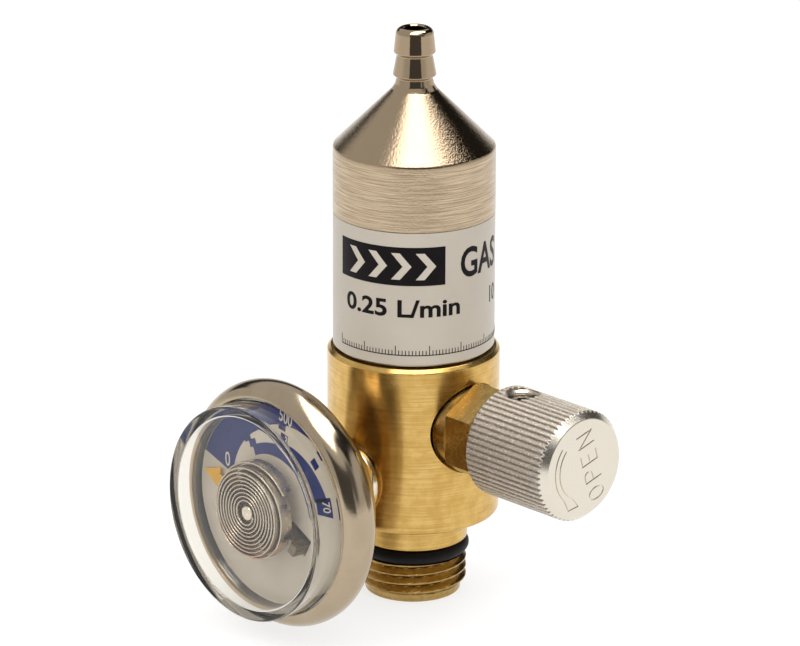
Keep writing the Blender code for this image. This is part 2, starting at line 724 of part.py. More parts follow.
def knob():
    """Aluminium knob, straight knurled, with a blind bore and a radial hole for its screw."""
    root_r = KNOB_R - KNURL_DEPTH
    front = KNOB_BACK_X + KNOB_LENGTH
    root_share = (root_r - KNOB_FACE_R) / (KNOB_R - KNOB_FACE_R)
    stations = [
        (KNOB_R - KNOB_BACK_CHAMFER, KNOB_BACK_X),
        (KNOB_R, KNOB_BACK_X + KNOB_BACK_CHAMFER),
        (KNOB_R, front - KNOB_FRONT_CHAMFER),
        (root_r, front - KNOB_FRONT_CHAMFER * root_share),
        (KNOB_FACE_R, front),
    ]
    tooth_points = ((0.0, KNOB_R), (KNURL_CREST_SHARE, KNOB_R), (KNURL_ROOT_SHARE, root_r))
    sections = []
    for turned_r, height in stations:
        section = []
        for tooth in range(KNURL_COUNT):
            for share, knurl_r in tooth_points:
                radius = min(knurl_r, turned_r)
                angle = 2 * math.pi * (tooth + share) / KNURL_COUNT
                section.append((radius * math.cos(angle), radius * math.sin(angle), height))
        sections.append(section)
    piece = skinned("knob", sections, "aluminium", VALVE_AXIS)
    bore_r = STEM_R + FINE_GAP
    bore_end = STEM_END_X + GAP
    cut(piece, turned("knob_bore", [
        (0.0, bore_end),
        (bore_r, bore_end),
        (bore_r, KNOB_BACK_X - CUT_PAST),
        (0.0, KNOB_BACK_X - CUT_PAST),
    ], None, VALVE_AXIS, steps=TINY_ROUND))
    hole = turned("knob_screw_hole", [
        (0.0, KNOB_R + CUT_PAST),
        (KNOB_SCREW_HOLE_R, KNOB_R + CUT_PAST),
        (KNOB_SCREW_HOLE_R, 0.0),
        (0.0, 0.0),
    ], steps=TINY_ROUND)
    hole.location = (KNOB_SCREW_X * MM, 0.0, KNOB_Z * MM)
    cut(piece, hole)


def knob_set_screw():
    """Headless screw, standing radially in the knob on top of the stem."""
    foot_r = STEM_R + GAP
    screw = turned("knob_set_screw", [
        (0.0, SET_SCREW_TOP_R),
        (SET_SCREW_R - SET_SCREW_CHAMFER, SET_SCREW_TOP_R),
        (SET_SCREW_R, SET_SCREW_TOP_R - SET_SCREW_CHAMFER),
        (SET_SCREW_R, foot_r + SET_SCREW_CONE),
        (SET_SCREW_R - SET_SCREW_CONE, foot_r),
        (0.0, foot_r),
    ], "steel", steps=TINY_ROUND)
    screw.location = (KNOB_SCREW_X * MM, 0.0, KNOB_Z * MM)
    socket = plate("set_screw_socket", [hexagon(SET_SCREW_SOCKET_FLATS, 0.0)], 2 * SET_SCREW_SOCKET_DEPTH)
    socket.location = (KNOB_SCREW_X * MM, 0.0, (KNOB_Z + SET_SCREW_TOP_R) * MM)
    cut(screw, socket)


def gauge_socket():
    """Brass stem of the gauge: pipe thread, hexagon, neck through the case and front block."""
    washer_front = GAUGE_SPOT_Y + GAP + WASHER_T
    hex_start = washer_front + GAP
    corner_r = SOCKET_FLATS / math.sqrt(3)
    neck_end = CASE_BACK_Y + CASE_WALL + GAP
    blind = SOCKET_FRONT_Y - SOCKET_BLIND_DEPTH
    bearing_r = HUB_SHAFT_R + HUB_PLAY
    socket = turned("gauge_socket", [
        (bearing_r, SOCKET_FRONT_Y),
        (SOCKET_BLOCK_R, SOCKET_FRONT_Y),
        (SOCKET_BLOCK_R, neck_end),
        (SOCKET_NECK_R, neck_end),
        (SOCKET_NECK_R, SOCKET_HEX_END_Y),
        (corner_r, SOCKET_HEX_END_Y),
        (corner_r, hex_start),
        (SOCKET_THREAD_R, hex_start),
        (SOCKET_THREAD_R, GAUGE_PORT_END_Y + GAP + SOCKET_TIP_CHAMFER),
        (SOCKET_THREAD_R - SOCKET_TIP_CHAMFER, GAUGE_PORT_END_Y + GAP),
        (GAUGE_PASSAGE_R, GAUGE_PORT_END_Y + GAP),
        (GAUGE_PASSAGE_R, blind - SOCKET_BLIND_CONE),
        (bearing_r, blind),
    ], "brass", GAUGE_AXIS, closed=True, steps=SMALL_ROUND)
    margin = GAP / 2
    cut(socket, hex_waste("socket_flats", SOCKET_FLATS, hex_start - margin, SOCKET_HEX_END_Y + margin,
                          GAUGE_AXIS, 30.0))
    turned("gauge_washer", [
        (SOCKET_THREAD_R + WASHER_PLAY, washer_front),
        (WASHER_R - WASHER_CHAMFER, washer_front),
        (WASHER_R, washer_front - WASHER_CHAMFER),
        (WASHER_R, GAUGE_SPOT_Y + GAP),
        (SOCKET_THREAD_R + WASHER_PLAY, GAUGE_SPOT_Y + GAP),
    ], "nickel", GAUGE_AXIS, closed=True, steps=SMALL_ROUND)


def gauge_case():
    """Drawn case of one wall: flat back, flared flank and a rolled bead that turns in to the lens."""
    profile = arc(CASE_BEAD_MID_R, CASE_BEAD_Y, CASE_BEAD_RADIAL, CASE_LIP_ANGLE, CASE_FLANK_ANGLE, 9,
                  CASE_BEAD_AXIAL)
    profile += [(radius, CASE_BACK_Y + height) for radius, height in (CASE_FLANK, CASE_SHOULDER)]
    profile += [(CASE_BACK_R, CASE_BACK_Y), (SOCKET_NECK_R + GAP, CASE_BACK_Y)]
    case = turned("gauge_case", profile, "nickel", GAUGE_AXIS)
    inward_wall(case, CASE_WALL)


def gauge_lens():
    """Clear moulded cap with a thick wall, held under the case's rolled lip by its flange."""
    flange_top = LENS_BASE_Y + LENS_FLANGE_T
    inner_r = LENS_R - LENS_WALL
    window = LENS_FRONT_Y - LENS_WINDOW_T
    profile = [(0.0, LENS_FRONT_Y)]
    profile += arc(LENS_R - LENS_EDGE_R, LENS_FRONT_Y - LENS_EDGE_R, LENS_EDGE_R, 90, 0, 3)
    profile += [
        (LENS_R, flange_top),
        (LENS_FLANGE_R, flange_top),
        (LENS_FLANGE_R, LENS_BASE_Y),
        (inner_r, LENS_BASE_Y),
        (inner_r, window - LENS_CORNER),
        (inner_r - LENS_CORNER, window),
        (0.0, window),
    ]
    turned("gauge_lens", profile, "clear_acrylic", GAUGE_AXIS)


def gauge_dial():
    """Printed dial behind the lens, with a slot where the tube's end comes through."""
    middle = DIAL_FRONT_Y - DIAL_T / 2
    dial = turned("gauge_dial", [
        (DIAL_HOLE_R, DIAL_FRONT_Y),
        (DIAL_R, DIAL_FRONT_Y),
        (DIAL_R, DIAL_FRONT_Y - DIAL_T),
        (DIAL_HOLE_R, DIAL_FRONT_Y - DIAL_T),
    ], "dial_paint", GAUGE_AXIS, closed=True)
    half_length = DIAL_SLOT_LENGTH / 2
    half_width = DIAL_SLOT_WIDTH / 2
    corners = [(-half_length, -half_width), (half_length, -half_width)]
    corners += [(half_length, half_width), (-half_length, half_width)]
    slot = plate("dial_slot", [corners], DIAL_T + 2 * CUT_PAST, None, GAUGE_AXIS)
    slot.location = Matrix.Rotation(math.radians(DIAL_SLOT_ANGLE), 3, "Z") @ Vector(
        (DIAL_SLOT_R * MM, 0.0, middle * MM))
    slot.rotation_euler = (0.0, 0.0, math.radians(DIAL_SLOT_ANGLE))
    cut(dial, slot)


def spiral_tube():
    """Flattened tube wound like a clock spring; its outer turns step back towards the dial."""
    count = round(TUBE_TURNS * TUBE_STEPS_PER_TURN)
    sections = []
    end_angle = math.radians(DIAL_SLOT_ANGLE - TUBE_END_LEAD)
    for index in range(count + 1):
        turn = TUBE_TURNS * index / count
        angle = end_angle - 2 * math.pi * (TUBE_TURNS - turn)
        inner = TUBE_INNER_R + TUBE_PITCH * turn
        outer = inner + TUBE_T
        across = (math.cos(angle), math.sin(angle))
        front = TUBE_BASE_Y + TUBE_DEPTH - TUBE_STEP_BACK * max(0.0, turn - TUBE_FLAT_TURNS)
        back = front - TUBE_STRIP_WIDTH
        sections.append([
            (inner * across[0], inner * across[1], back),
            (outer * across[0], outer * across[1], back),
            (outer * across[0], outer * across[1], front),
            (inner * across[0], inner * across[1], front),
        ])
    skinned("spiral_tube", sections, "tube_bronze", GAUGE_AXIS)


def tube_post():
    """Brass post that feeds the tube's outer end, standing on the socket's front block."""
    outer_end_r = TUBE_INNER_R + TUBE_PITCH * TUBE_TURNS + TUBE_T
    foot_r = SOCKET_BLOCK_R - POST_FOOT
    head_r = outer_end_r + GAP
    half = POST_WIDTH / 2
    low = SOCKET_FRONT_Y + GAP
    front = TUBE_BASE_Y + POST_HEIGHT
    sections = []
    for side in (-half, half):
        sections.append([
            (foot_r, side, low),
            (head_r + POST_DEPTH, side, low),
            (head_r + POST_DEPTH, side, front),
            (head_r, side, front),
            (head_r, side, low + POST_FOOT_T),
            (foot_r, side, low + POST_FOOT_T),
        ])
    post = skinned("tube_post", sections, "brass", GAUGE_AXIS)
    post.rotation_euler = (0.0, 0.0, math.radians(DIAL_SLOT_ANGLE))


def pointer_parts():
    """Yellow pointer behind the tube, and the hub that carries it."""
    shaft_start = SOCKET_FRONT_Y - HUB_SHAFT_DEPTH
    hub_front = TUBE_BASE_Y + TUBE_DEPTH - HUB_RECESS
    turned("pointer_hub", [
        (0.0, hub_front),
        (HUB_R, hub_front),
        (HUB_R, TUBE_BASE_Y),
        (HUB_SHAFT_R, TUBE_BASE_Y),
        (HUB_SHAFT_R, shaft_start),
        (0.0, shaft_start),
    ], "brass", POINTER_AXIS, steps=TINY_ROUND)
    half_arm = POINTER_ARM_WIDTH / 2
    half_head = POINTER_HEAD_WIDTH / 2
    boss_start = math.degrees(math.asin(half_arm / POINTER_BOSS_R))
    outline = [(POINTER_R, 0.0), (POINTER_R - POINTER_HEAD, half_head), (POINTER_R - POINTER_HEAD, half_arm)]
    outline += arc(0.0, 0.0, POINTER_BOSS_R, boss_start, 360 - boss_start, 12)
    outline += [(POINTER_R - POINTER_HEAD, -half_arm), (POINTER_R - POINTER_HEAD, -half_head)]
    hole = arc(0.0, 0.0, HUB_SHAFT_R + FINE_GAP, 0, 360, TINY_ROUND)[:-1]
    hand = plate("pointer", [outline, hole], POINTER_T, "yellow_paint", POINTER_AXIS)
    hand.location = (0.0, 0.0, (POINTER_BACK_Y + POINTER_T / 2) * MM)
    hand.rotation_euler = (0.0, 0.0, math.radians(POINTER_ANGLE))


def pressure_gauge():
    """Builds the gauge outwards: socket and case first, then what the lens covers."""
    gauge_socket()
    gauge_case()
    gauge_lens()
    gauge_dial()
    spiral_tube()
    tube_post()
    pointer_parts()


def build():
    seal_z = COLLAR_Z - FINE_GAP - SEAL_SECTION_R
    valve_body()
    ring_seal("inlet_o_ring", SEAL_OUTER_R - SEAL_SECTION_R, SEAL_SECTION_R, seal_z, "black_rubber")
    inlet_filter()
    bonnet()
    bonnet_label()
    piston()
    regulating_spring()
    valve_parts()
    knob()
    knob_set_screw()
    pressure_gauge()


build()
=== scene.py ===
"""Looks of a fixed flow gas regulator: brass body, nickel bonnet, knurled knob and pressure gauge.

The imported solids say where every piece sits. Each piece that shows gets a finer mesh in the same place,
and every finish is made from patterns at a real scale. Sizes are millimetres until they go into a mesh.
"""
import json
import math

import bmesh
import bpy
from mathutils import Matrix, Vector

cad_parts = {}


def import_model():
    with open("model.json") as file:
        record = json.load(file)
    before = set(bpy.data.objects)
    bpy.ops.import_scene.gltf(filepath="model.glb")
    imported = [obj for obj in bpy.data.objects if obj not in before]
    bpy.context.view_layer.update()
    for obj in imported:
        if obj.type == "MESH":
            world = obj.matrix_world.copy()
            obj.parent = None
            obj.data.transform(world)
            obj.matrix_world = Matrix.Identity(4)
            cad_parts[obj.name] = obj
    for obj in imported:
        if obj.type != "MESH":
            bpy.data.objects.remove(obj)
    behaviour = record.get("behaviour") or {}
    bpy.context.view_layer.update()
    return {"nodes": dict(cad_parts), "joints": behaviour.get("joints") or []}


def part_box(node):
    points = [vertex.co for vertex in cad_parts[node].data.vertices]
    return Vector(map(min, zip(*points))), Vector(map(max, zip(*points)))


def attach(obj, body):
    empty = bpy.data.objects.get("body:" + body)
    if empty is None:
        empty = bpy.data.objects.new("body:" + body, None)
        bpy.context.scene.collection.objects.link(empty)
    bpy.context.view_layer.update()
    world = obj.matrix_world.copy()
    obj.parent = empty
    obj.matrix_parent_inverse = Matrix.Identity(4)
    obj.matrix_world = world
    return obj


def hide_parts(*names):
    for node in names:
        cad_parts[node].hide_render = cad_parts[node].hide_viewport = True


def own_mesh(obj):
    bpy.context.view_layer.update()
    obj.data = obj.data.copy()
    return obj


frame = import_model()
NODES = frame["nodes"]
MM = 0.001


def box_mm(node):
    low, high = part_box(node)
    return low / MM, high / MM


def joint_point(name):
    found = [joint for joint in frame["joints"] if joint["name"] == name]
    return Vector(found[0]["pos_m"]) / MM


# Places and outer sizes that come from the solids
BODY_HIGH = box_mm("valve_body")[1]
BONNET_LOW, BONNET_HIGH = box_mm("bonnet")
LABEL_LOW, LABEL_HIGH = box_mm("bonnet_label")
KNOB_LOW, KNOB_HIGH = box_mm("knob")
NUT_LOW, NUT_HIGH = box_mm("packing_nut")
SOCKET_LOW, SOCKET_HIGH = box_mm("gauge_socket")
WASHER_LOW, WASHER_HIGH = box_mm("gauge_washer")
CASE_LOW, CASE_HIGH = box_mm("gauge_case")
LENS_LOW, LENS_HIGH = box_mm("gauge_lens")
DIAL_LOW, DIAL_HIGH = box_mm("gauge_dial")
TUBE_LOW, TUBE_HIGH = box_mm("spiral_tube")
POINTER_LOW, POINTER_HIGH = box_mm("pointer")
HUB_LOW, HUB_HIGH = box_mm("pointer_hub")
SEAL_LOW, SEAL_HIGH = box_mm("inlet_o_ring")
SCREW_LOW, SCREW_HIGH = box_mm("knob_set_screw")
STEM_LOW, STEM_HIGH = box_mm("valve_stem")
KNOB_Z = joint_point("knob_turn").z
GAUGE_Z = joint_point("pointer_turn").z

# Axes: local Z of each runs outwards from the main axis
MAIN = Matrix.Identity(4)
VALVE = Matrix.Translation((0.0, 0.0, KNOB_Z)) @ Matrix.Rotation(math.radians(90), 4, "Y")
GAUGE = Matrix.Translation((0.0, 0.0, GAUGE_Z)) @ Matrix.Rotation(math.radians(90), 4, "X")

# Body, from the spigot down to the inlet nose
BODY_R = BODY_HIGH.x
BODY_TOP_Z = 38.2
BODY_Z = 12.6
TOP_CHAMFER = 0.55
BODY_EDGE_R = 1.0
SPIGOT_R = 9.3
STEM_BORE_R = 2.65
SEAT_POCKET_Z = 33.0
COLLAR_R = 8.1
COLLAR_Z = 8.4
SEAL_GROOVE_R = 5.85
NOSE_R = 7.1
NOSE_EDGE = 0.35
RECESS_R = 3.3
RECESS_DEPTH = 2.5
INLET_BORE_R = 1.4

# Inlet thread, 18 turns to the inch
THREAD_R = 7.94
THREAD_TOP_Z = 6.1
THREAD_END_Z = 1.1
THREAD_PITCH = 1.411
THREAD_DEPTH = 0.86
THREAD_CREST = 0.16
THREAD_ROW = 0.06
FIRST_CREST_Z = 6.03
FIRST_CREST_TURN = math.radians(43.6)
LEAD_IN_SLOPE = 1.2

# Ports in the body's side, as (radius, distance from the axis)
VALVE_PORT = [(6.8, 10.5), (5.3, 6.6), (3.6, 2.0), (0.8, 0.0)]
GAUGE_PORT = [(5.7, 11.9), (4.9, 4.6), (1.1, 0.0)]

# Bonnet
BONNET_R = BONNET_HIGH.x
BONNET_BORE_R = 9.65
BONNET_BORE_TOP_Z = 66.0
CONE_BASE_Z = 68.65
CONE_TOP_Z = 77.15
CONE_TOP_R = 3.35
NECK_FLARE = (0.25, 0.75)
BARB_TOP_Z = BONNET_HIGH.z
BARB_UPPER = (3.08, 82.7)
BARB_LOWER = (3.2, 79.3)
BARB_NECK_R = 2.64
BARB_STEP = 0.4
BARB_TIP_R = 2.8
BARB_ROUND = 0.95
OUTLET_R = 1.45
ORIFICE_POCKET = (2.2, 73.4, 76.2)

# Label; angles are seen from above, from +X towards +Y
LABEL_T = 0.18
LABEL_SEAM = 136.0
LABEL_SWEEP = 352.0

# Its print, each part with its left end's angle and its foot's height
PRINT_T = 0.02
PRINT_SINK = 0.01
PRINT_STRIP = 0.6
FIELD = (-104.0, 50.87)
FIELD_SIZE = (17.2, 5.8)
CHEVRON_COUNT = 4
CHEVRON_RISE = 0.006
CHEVRON_STEP = 3.6
CHEVRON = [(2.0, 0.9), (3.3, 0.9), (5.0, 2.9), (3.3, 4.9), (2.0, 4.9), (3.7, 2.9)]
# Words, angle, foot, height of the letters, weight and stretch
LABEL_WORDS = (
    ("0.25 L/min", -98.0, 46.15, 3.6, 0.09, 1.21),
    ("GAS", -9.5, 51.5, 6.2, 0.13, 0.8),
    ("10", 21.5, 46.1, 3.6, 0.04, 0.8),
)
FINE_SCALE = (-104.9, 40.2)
FINE_SCALE_LENGTH = 34.0
FINE_SCALE_STEP = 0.5
FINE_SCALE_LINE = 0.14
LONG_TICK = 1.5
SHORT_TICK = 0.8
TICK_WIDTH = 0.12

# Valve
STEM_R = STEM_HIGH.y - 1.2
STEM_GAP = 0.12
STEM_HEAD_T = 0.8
NUT_FLATS = 12.7
NUT_THREAD_R = 5.0
NUT_CHAMFER = (0.96, 0.6)
NUT_COLLAR_R = 6.4
NUT_COLLAR_END_X = 13.3
NUT_COLLAR_START_X = 10.8
NUT_END_X = NUT_HIGH.x

# Knob
KNOB_R = (KNOB_HIGH.z - KNOB_LOW.z) / 2
KNOB_FACE_R = 7.2
KNOB_CHAMFER = 1.15
KNOB_BACK_ROUND = 0.4
KNURL_COUNT = 58
KNURL_DEPTH = 0.25
KNOB_SCREW_X = (SCREW_LOW.x + SCREW_HIGH.x) / 2
KNOB_SCREW_HOLE_R = 2.25
# Chamfer of that hole: its width, and its upper and lower depth under the knurl
KNOB_HOLE_RIM = (0.3, 0.55, 0.85)
SCREW_R = (SCREW_HIGH.x - SCREW_LOW.x) / 2
SCREW_KEY_FLATS = 2.0
SCREW_KEY_DEPTH = 2.2
ENGRAVING_DEPTH = 0.14
STROKE = 0.22
WORD_ANGLE = math.radians(106)
WORD_FOOT = Vector((4.35, -4.85))
ARROW_ARCS = ((5.75, 140, 226), (4.85, 138, 232))
ARROW_TIP = (-1.15, -5.6)
ARROW_BARBS = ([(-3.95, -4.15), (-3.1, -5.85)], [(-3.0, -3.75), (-2.1, -4.4)])

# Gauge, distances outwards from the main axis
WASHER_R = WASHER_HIGH.x + 0.2
SOCKET_FLATS = 11.2
SOCKET_BLOCK_R = 5.6
SOCKET_NECK_R = 3.6
SOCKET_THREAD_R = 4.6
SOCKET_BORE_R = 1.1
SOCKET_NOZZLE_R = 0.75
SOCKET_HEX_END_Y = 18.0
CASE_BACK_Y = -CASE_HIGH.y
CASE_WALL = 0.7
CASE_BEAD = (16.0, 26.4)
CASE_BEAD_RADIAL = CASE_HIGH.x - CASE_BEAD[0]
CASE_BEAD_AXIAL = -CASE_LOW.y - CASE_BEAD[1]
CASE_BACK_R = 11.5
CASE_SHOULDER = (12.7, 0.8)
CASE_FLANK = (13.7, 2.3)
LENS_R = 15.95
LENS_FLANGE_R = LENS_HIGH.x
LENS_FLANGE_T = 0.45
LENS_WALL = 1.35
LENS_WINDOW_T = 0.95
LENS_FRONT_Y = -LENS_LOW.y
LENS_BASE_Y = -LENS_HIGH.y
DIAL_R = DIAL_HIGH.x
DIAL_FRONT_Y = -DIAL_LOW.y
DIAL_T = DIAL_HIGH.y - DIAL_LOW.y
DIAL_HOLE_R = 1.6
DIAL_SLOT_ANGLE = -28.0
DIAL_SLOT = (4.5, 9.3, 1.5)
DIAL_PRINT_T = 0.025
DIAL_PRINT_SINK = 0.005
DIAL_FIGURE_T = 0.03
DIAL_FIGURE_WEIGHT = 0.02
DIAL_FIGURE_STRETCH = 0.74
# Rows of three blocks each: first radius, its growth, first angle and its step
DIAL_ROWS = ((10.5, 1.9, 117.0, -35.8), (9.5, 1.3, 112.0, -34.0))
DIAL_BLOCK = (1.2, 1.5)
# Numbers: radius, angle, lean and height of the figures
DIAL_NUMBERS = (
    ("0", 10.3, 151.5, 2.0, 3.1),
    ("500", 13.9, 78.5, -11.5, 2.5),
    ("70", 11.5, 13.5, -76.5, 2.3),
    ("35", 10.6, 74.0, -16.0, 1.9),
)
TUBE_BASE_Y = -TUBE_HIGH.y
TUBE_DEPTH = TUBE_HIGH.y - TUBE_LOW.y
TUBE_INNER_R = 1.45
TUBE_PITCH = 0.5825
TUBE_TURNS = 9.9
TUBE_T = 0.27
TUBE_STRIP_WIDTH = 2.1
TUBE_FLAT_TURNS = 8.3
TUBE_STEP_BACK = 1.08
TUBE_END_ANGLE = DIAL_SLOT_ANGLE - 11.5
HUB_R = HUB_HIGH.x
ARBOR_R = 0.55
POINTER_R = 13.8
POINTER_HEAD = (3.4, 1.7)
POINTER_ARM = 0.55
POINTER_BOSS_R = 1.5
POINTER_HOLE_R = 0.67
POINTER_ANGLE = 170.5


# Mesh helpers

def soften(corners, steps=4, loop=False):
    """Rounds the corners of a profile. A corner is (radius, height), with its own rounding as a third number.

    A holding point beside each rounding keeps the flats next to it flat when they are shaded smooth.
    """
    points = []
    count = len(corners)
    for index, corner in enumerate(corners):
        here = Vector(corner[:2])
        size = corner[2] if len(corner) > 2 else 0.0
        at_end = not loop and index in (0, count - 1)
        if at_end or size == 0.0:
            points.append(tuple(here))
            continue
        before = Vector(corners[index - 1][:2]) - here
        after = Vector(corners[(index + 1) % count][:2]) - here
        reach = min(size, before.length * 0.42, after.length * 0.42)
        first = here + before.normalized() * reach
        last = here + after.normalized() * reach
        points.append(tuple(here + before.normalized() * reach * 1.12))
        for step in range(steps + 1):
            share = step / steps
            bend = first * (1 - share) ** 2 + here * 2 * share * (1 - share) + last * share ** 2
            points.append(tuple(bend))
        points.append(tuple(here + after.normalized() * reach * 1.12))
    return points


def arc(centre, radius, start, end, count, height=None):
    """Points of a round or elliptical stretch of a profile, from start to end in degrees."""
    tall = radius if height is None else height
    angles = [math.radians(start + (end - start) * index / count) for index in range(count + 1)]
    return [(centre[0] + radius * math.cos(turn), centre[1] + tall * math.sin(turn)) for turn in angles]


def revolve(profile, segments=160, loop=True, start=0.0, sweep=360.0):
    """Mesh of a profile of (radius, height) turned about Z. The profile runs down its outer side."""
    shape = bmesh.new()
    whole = sweep >= 360.0
    columns = segments if whole else segments + 1
    rings = []
    for radius, height in profile:
        if radius < 1e-6:
            rings.append([shape.verts.new((0.0, 0.0, height))] * columns)
            continue
        ring = []
        for column in range(columns):
            angle = math.radians(start + sweep * column / segments)
            ring.append(shape.verts.new((radius * math.cos(angle), radius * math.sin(angle), height)))
        rings.append(ring)
    pairs = list(zip(rings, rings[1:]))
    if loop:
        pairs.append((rings[-1], rings[0]))
    for upper, lower in pairs:
        for column in range(segments):
            after = (column + 1) % columns
            corners = [upper[column], lower[column], lower[after], upper[after]]
            corners = list(dict.fromkeys(corners))
            if len(corners) > 2:
                shape.faces.new(corners)
    if not whole:
        shape.faces.new([ring[0] for ring in rings])
        shape.faces.new([ring[-1] for ring in reversed(rings)])
    bmesh.ops.recalc_face_normals(shape, faces=shape.faces)
    return shape


def rectangle(left, low, right, high):
    return [(left, low), (right, low), (right, high), (left, high)]


def slab(outline, bottom, thickness):
    """Mesh of a flat outline in XY, raised from a height by a thickness."""
    shape = bmesh.new()
    low = [shape.verts.new((x, y, bottom)) for x, y in outline]
    high = [shape.verts.new((x, y, bottom + thickness)) for x, y in outline]
    shape.faces.new(reversed(low))
    shape.faces.new(high)
    for index in range(len(outline)):
        after = (index + 1) % len(outline)
        shape.faces.new((low[index], low[after], high[after], high[index]))
    bmesh.ops.recalc_face_normals(shape, faces=shape.faces)
    return shape


def sector(inner, outer, start, end, bottom, thickness):
    """Mesh of a flat ring sector. The radii may be numbers or functions of the angle in degrees."""
    steps = max(2, round(abs(end - start) / 1.5))
    angles = [start + (end - start) * index / steps for index in range(steps + 1)]

    def edge(radius, turns):
        points = []
        for turn in turns:
            size = radius(turn) if callable(radius) else radius
            points.append((size * math.cos(math.radians(turn)), size * math.sin(math.radians(turn))))
        return points

    shape = bmesh.new()
    near = edge(inner, angles)
    far = edge(outer, angles)
    rows = []
    for height in (bottom, bottom + thickness):
        rows.append([shape.verts.new((x, y, height)) for x, y in near])
        rows.append([shape.verts.new((x, y, height)) for x, y in far])
    low_near, low_far, high_near, high_far = rows
    for index in range(steps):
        after = index + 1
        shape.faces.new((low_near[index], low_near[after], low_far[after], low_far[index]))
        shape.faces.new((high_near[index], high_far[index], high_far[after], high_near[after]))
        shape.faces.new((low_near[index], high_near[index], high_near[after], low_near[after]))
        shape.faces.new((low_far[index], low_far[after], high_far[after], high_far[index]))
    for index in (0, steps):
        shape.faces.new((low_near[index], low_far[index], high_far[index], high_near[index]))
    bmesh.ops.recalc_face_normals(shape, faces=shape.faces)
    return shape


def joined(shapes):
    """One mesh out of several, which are used up."""
    whole = bmesh.new()
    for shape in shapes:
        loose = bpy.data.meshes.new("loose")
        shape.to_mesh(loose)
        whole.from_mesh(loose)
        shape.free()
        bpy.data.meshes.remove(loose)
    return whole


def to_mesh(name, shape, matrix=MAIN):
    """Finished mesh in metres: the shape's millimetres placed by a matrix."""
    mesh = bpy.data.meshes.new(name)
    shape.to_mesh(mesh)
    shape.free()
    mesh.transform(Matrix.Scale(MM, 4) @ matrix)
    return mesh


def place_mm(mesh, matrix):
    """Moves a finished mesh by a matrix in millimetres."""
    mesh.transform(Matrix.Scale(MM, 4) @ matrix @ Matrix.Scale(1 / MM, 4))


def linked(name, data):
    """New object for some data, in the scene."""
    obj = bpy.data.objects.new(name, data)
    bpy.context.scene.collection.objects.link(obj)
    return obj


def evaluated(obj):
    """Plain mesh of an object as its modifiers leave it; the object is removed."""
    bpy.context.view_layer.update()
    depsgraph = bpy.context.evaluated_depsgraph_get()
    mesh = bpy.data.meshes.new_from_object(obj.evaluated_get(depsgraph))
    bpy.data.objects.remove(obj)
    return mesh


def carve(mesh, cutters, operation="DIFFERENCE"):
    """Mesh after Boolean cuts by other meshes, all in metres."""
    target = linked("carved", mesh)
    helpers = []
    for cutter_mesh in cutters:
        cutter = linked("cutter", cutter_mesh)
        boolean = target.modifiers.new("cut", "BOOLEAN")
        boolean.operation = operation
        boolean.solver = "EXACT"
        boolean.object = cutter
        helpers.append(cutter)
    result = evaluated(target)
    for cutter in helpers:
        bpy.data.objects.remove(cutter)
    return result


def edge_rounded(mesh, width, segments=2, angle=35.0):
    """Mesh with its sharp edges rounded by a width in millimetres."""
    obj = linked("rounded", mesh)
    bevel = obj.modifiers.new("edges", "BEVEL")
    bevel.width = width * MM
    bevel.segments = segments
    bevel.limit_method = "ANGLE"
    bevel.angle_limit = math.radians(angle)
    return evaluated(obj)


def hexagon(flats, first_angle):
    corner = flats / math.sqrt(3)
    angles = [math.radians(first_angle + 60 * index) for index in range(6)]
    return [(corner * math.cos(turn), corner * math.sin(turn)) for turn in angles]


def hex_waste(name, flats, start, end, first_angle, matrix):
    """What a hexagon's milling takes away between two heights."""
    size = flats / math.sqrt(3) + 2.0
    ring = revolve([(size, end), (size, start), (0.0, start), (0.0, end)], 48, False)
    whole = to_mesh(name, ring, matrix)
    core = to_mesh(name, slab(hexagon(flats, first_angle), start - 1.0, end - start + 2.0), matrix)
    return carve(whole, [core])


def piece(name, mesh, finish, body, slot, *replaced, sharp=30.0):
    """Adds a finished mesh as a piece that rides on a body and stands for solids."""
    mesh.materials.clear()
    mesh.materials.append(finish)
    mesh.name = name
    mesh.shade_smooth()
    mesh.set_sharp_from_angle(angle=math.radians(sharp))
    obj = linked(name, mesh)
    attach(obj, body)
    if replaced:
        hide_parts(*replaced)
    return obj


# Nodes, for finishes and for geometry

def connect(node, inputs):
    """Feeds a node's inputs: each gets a value, an output, or a node for its first live output."""
    for key, value in inputs.items():
        if isinstance(value, bpy.types.Node):
            value = next(output for output in value.outputs if output.enabled)
        if isinstance(value, bpy.types.NodeSocket):
            node.id_data.links.new(value, node.inputs[key])
        else:
            node.inputs[key].default_value = value


def add_node(tree, kind, inputs=None, **settings):
    """Adds a node with its settings, then feeds its inputs."""
    node = tree.nodes.new(kind)
    for name, value in settings.items():
        setattr(node, name, value)
    connect(node, inputs or {})
    return node


def linear(code):
    """Linear colour of an sRGB hex code."""
    channels = [int(code[index:index + 2], 16) / 255 for index in (1, 3, 5)]
    curve = [value / 12.92 if value <= 0.04045 else ((value + 0.055) / 1.055) ** 2.4 for value in channels]
    return (*curve, 1.0)


def new_finish(name, colour, constants):
    """Material with its constants on the shader's own sockets, where patterns may take their place."""
    material = bpy.data.materials.new(name)
    material.use_nodes = True
    tree = material.node_tree
    shader = tree.nodes["Principled BSDF"]
    connect(shader, {"Base Color": linear(colour), **constants})
    where = add_node(tree, "ShaderNodeTexCoord").outputs["Object"]
    return material, tree, shader, where


# Most of a noise lies between these values
NOISE_SPAN = {"From Min": 0.3, "From Max": 0.7}
# Stretches a noise round an axis into tool marks. They are coarser than real ones, so that they show
AXIS_SQUEEZE = {"X": (1.0, 0.02, 0.02), "Y": (0.02, 1.0, 0.02), "Z": (0.02, 0.02, 1.0)}


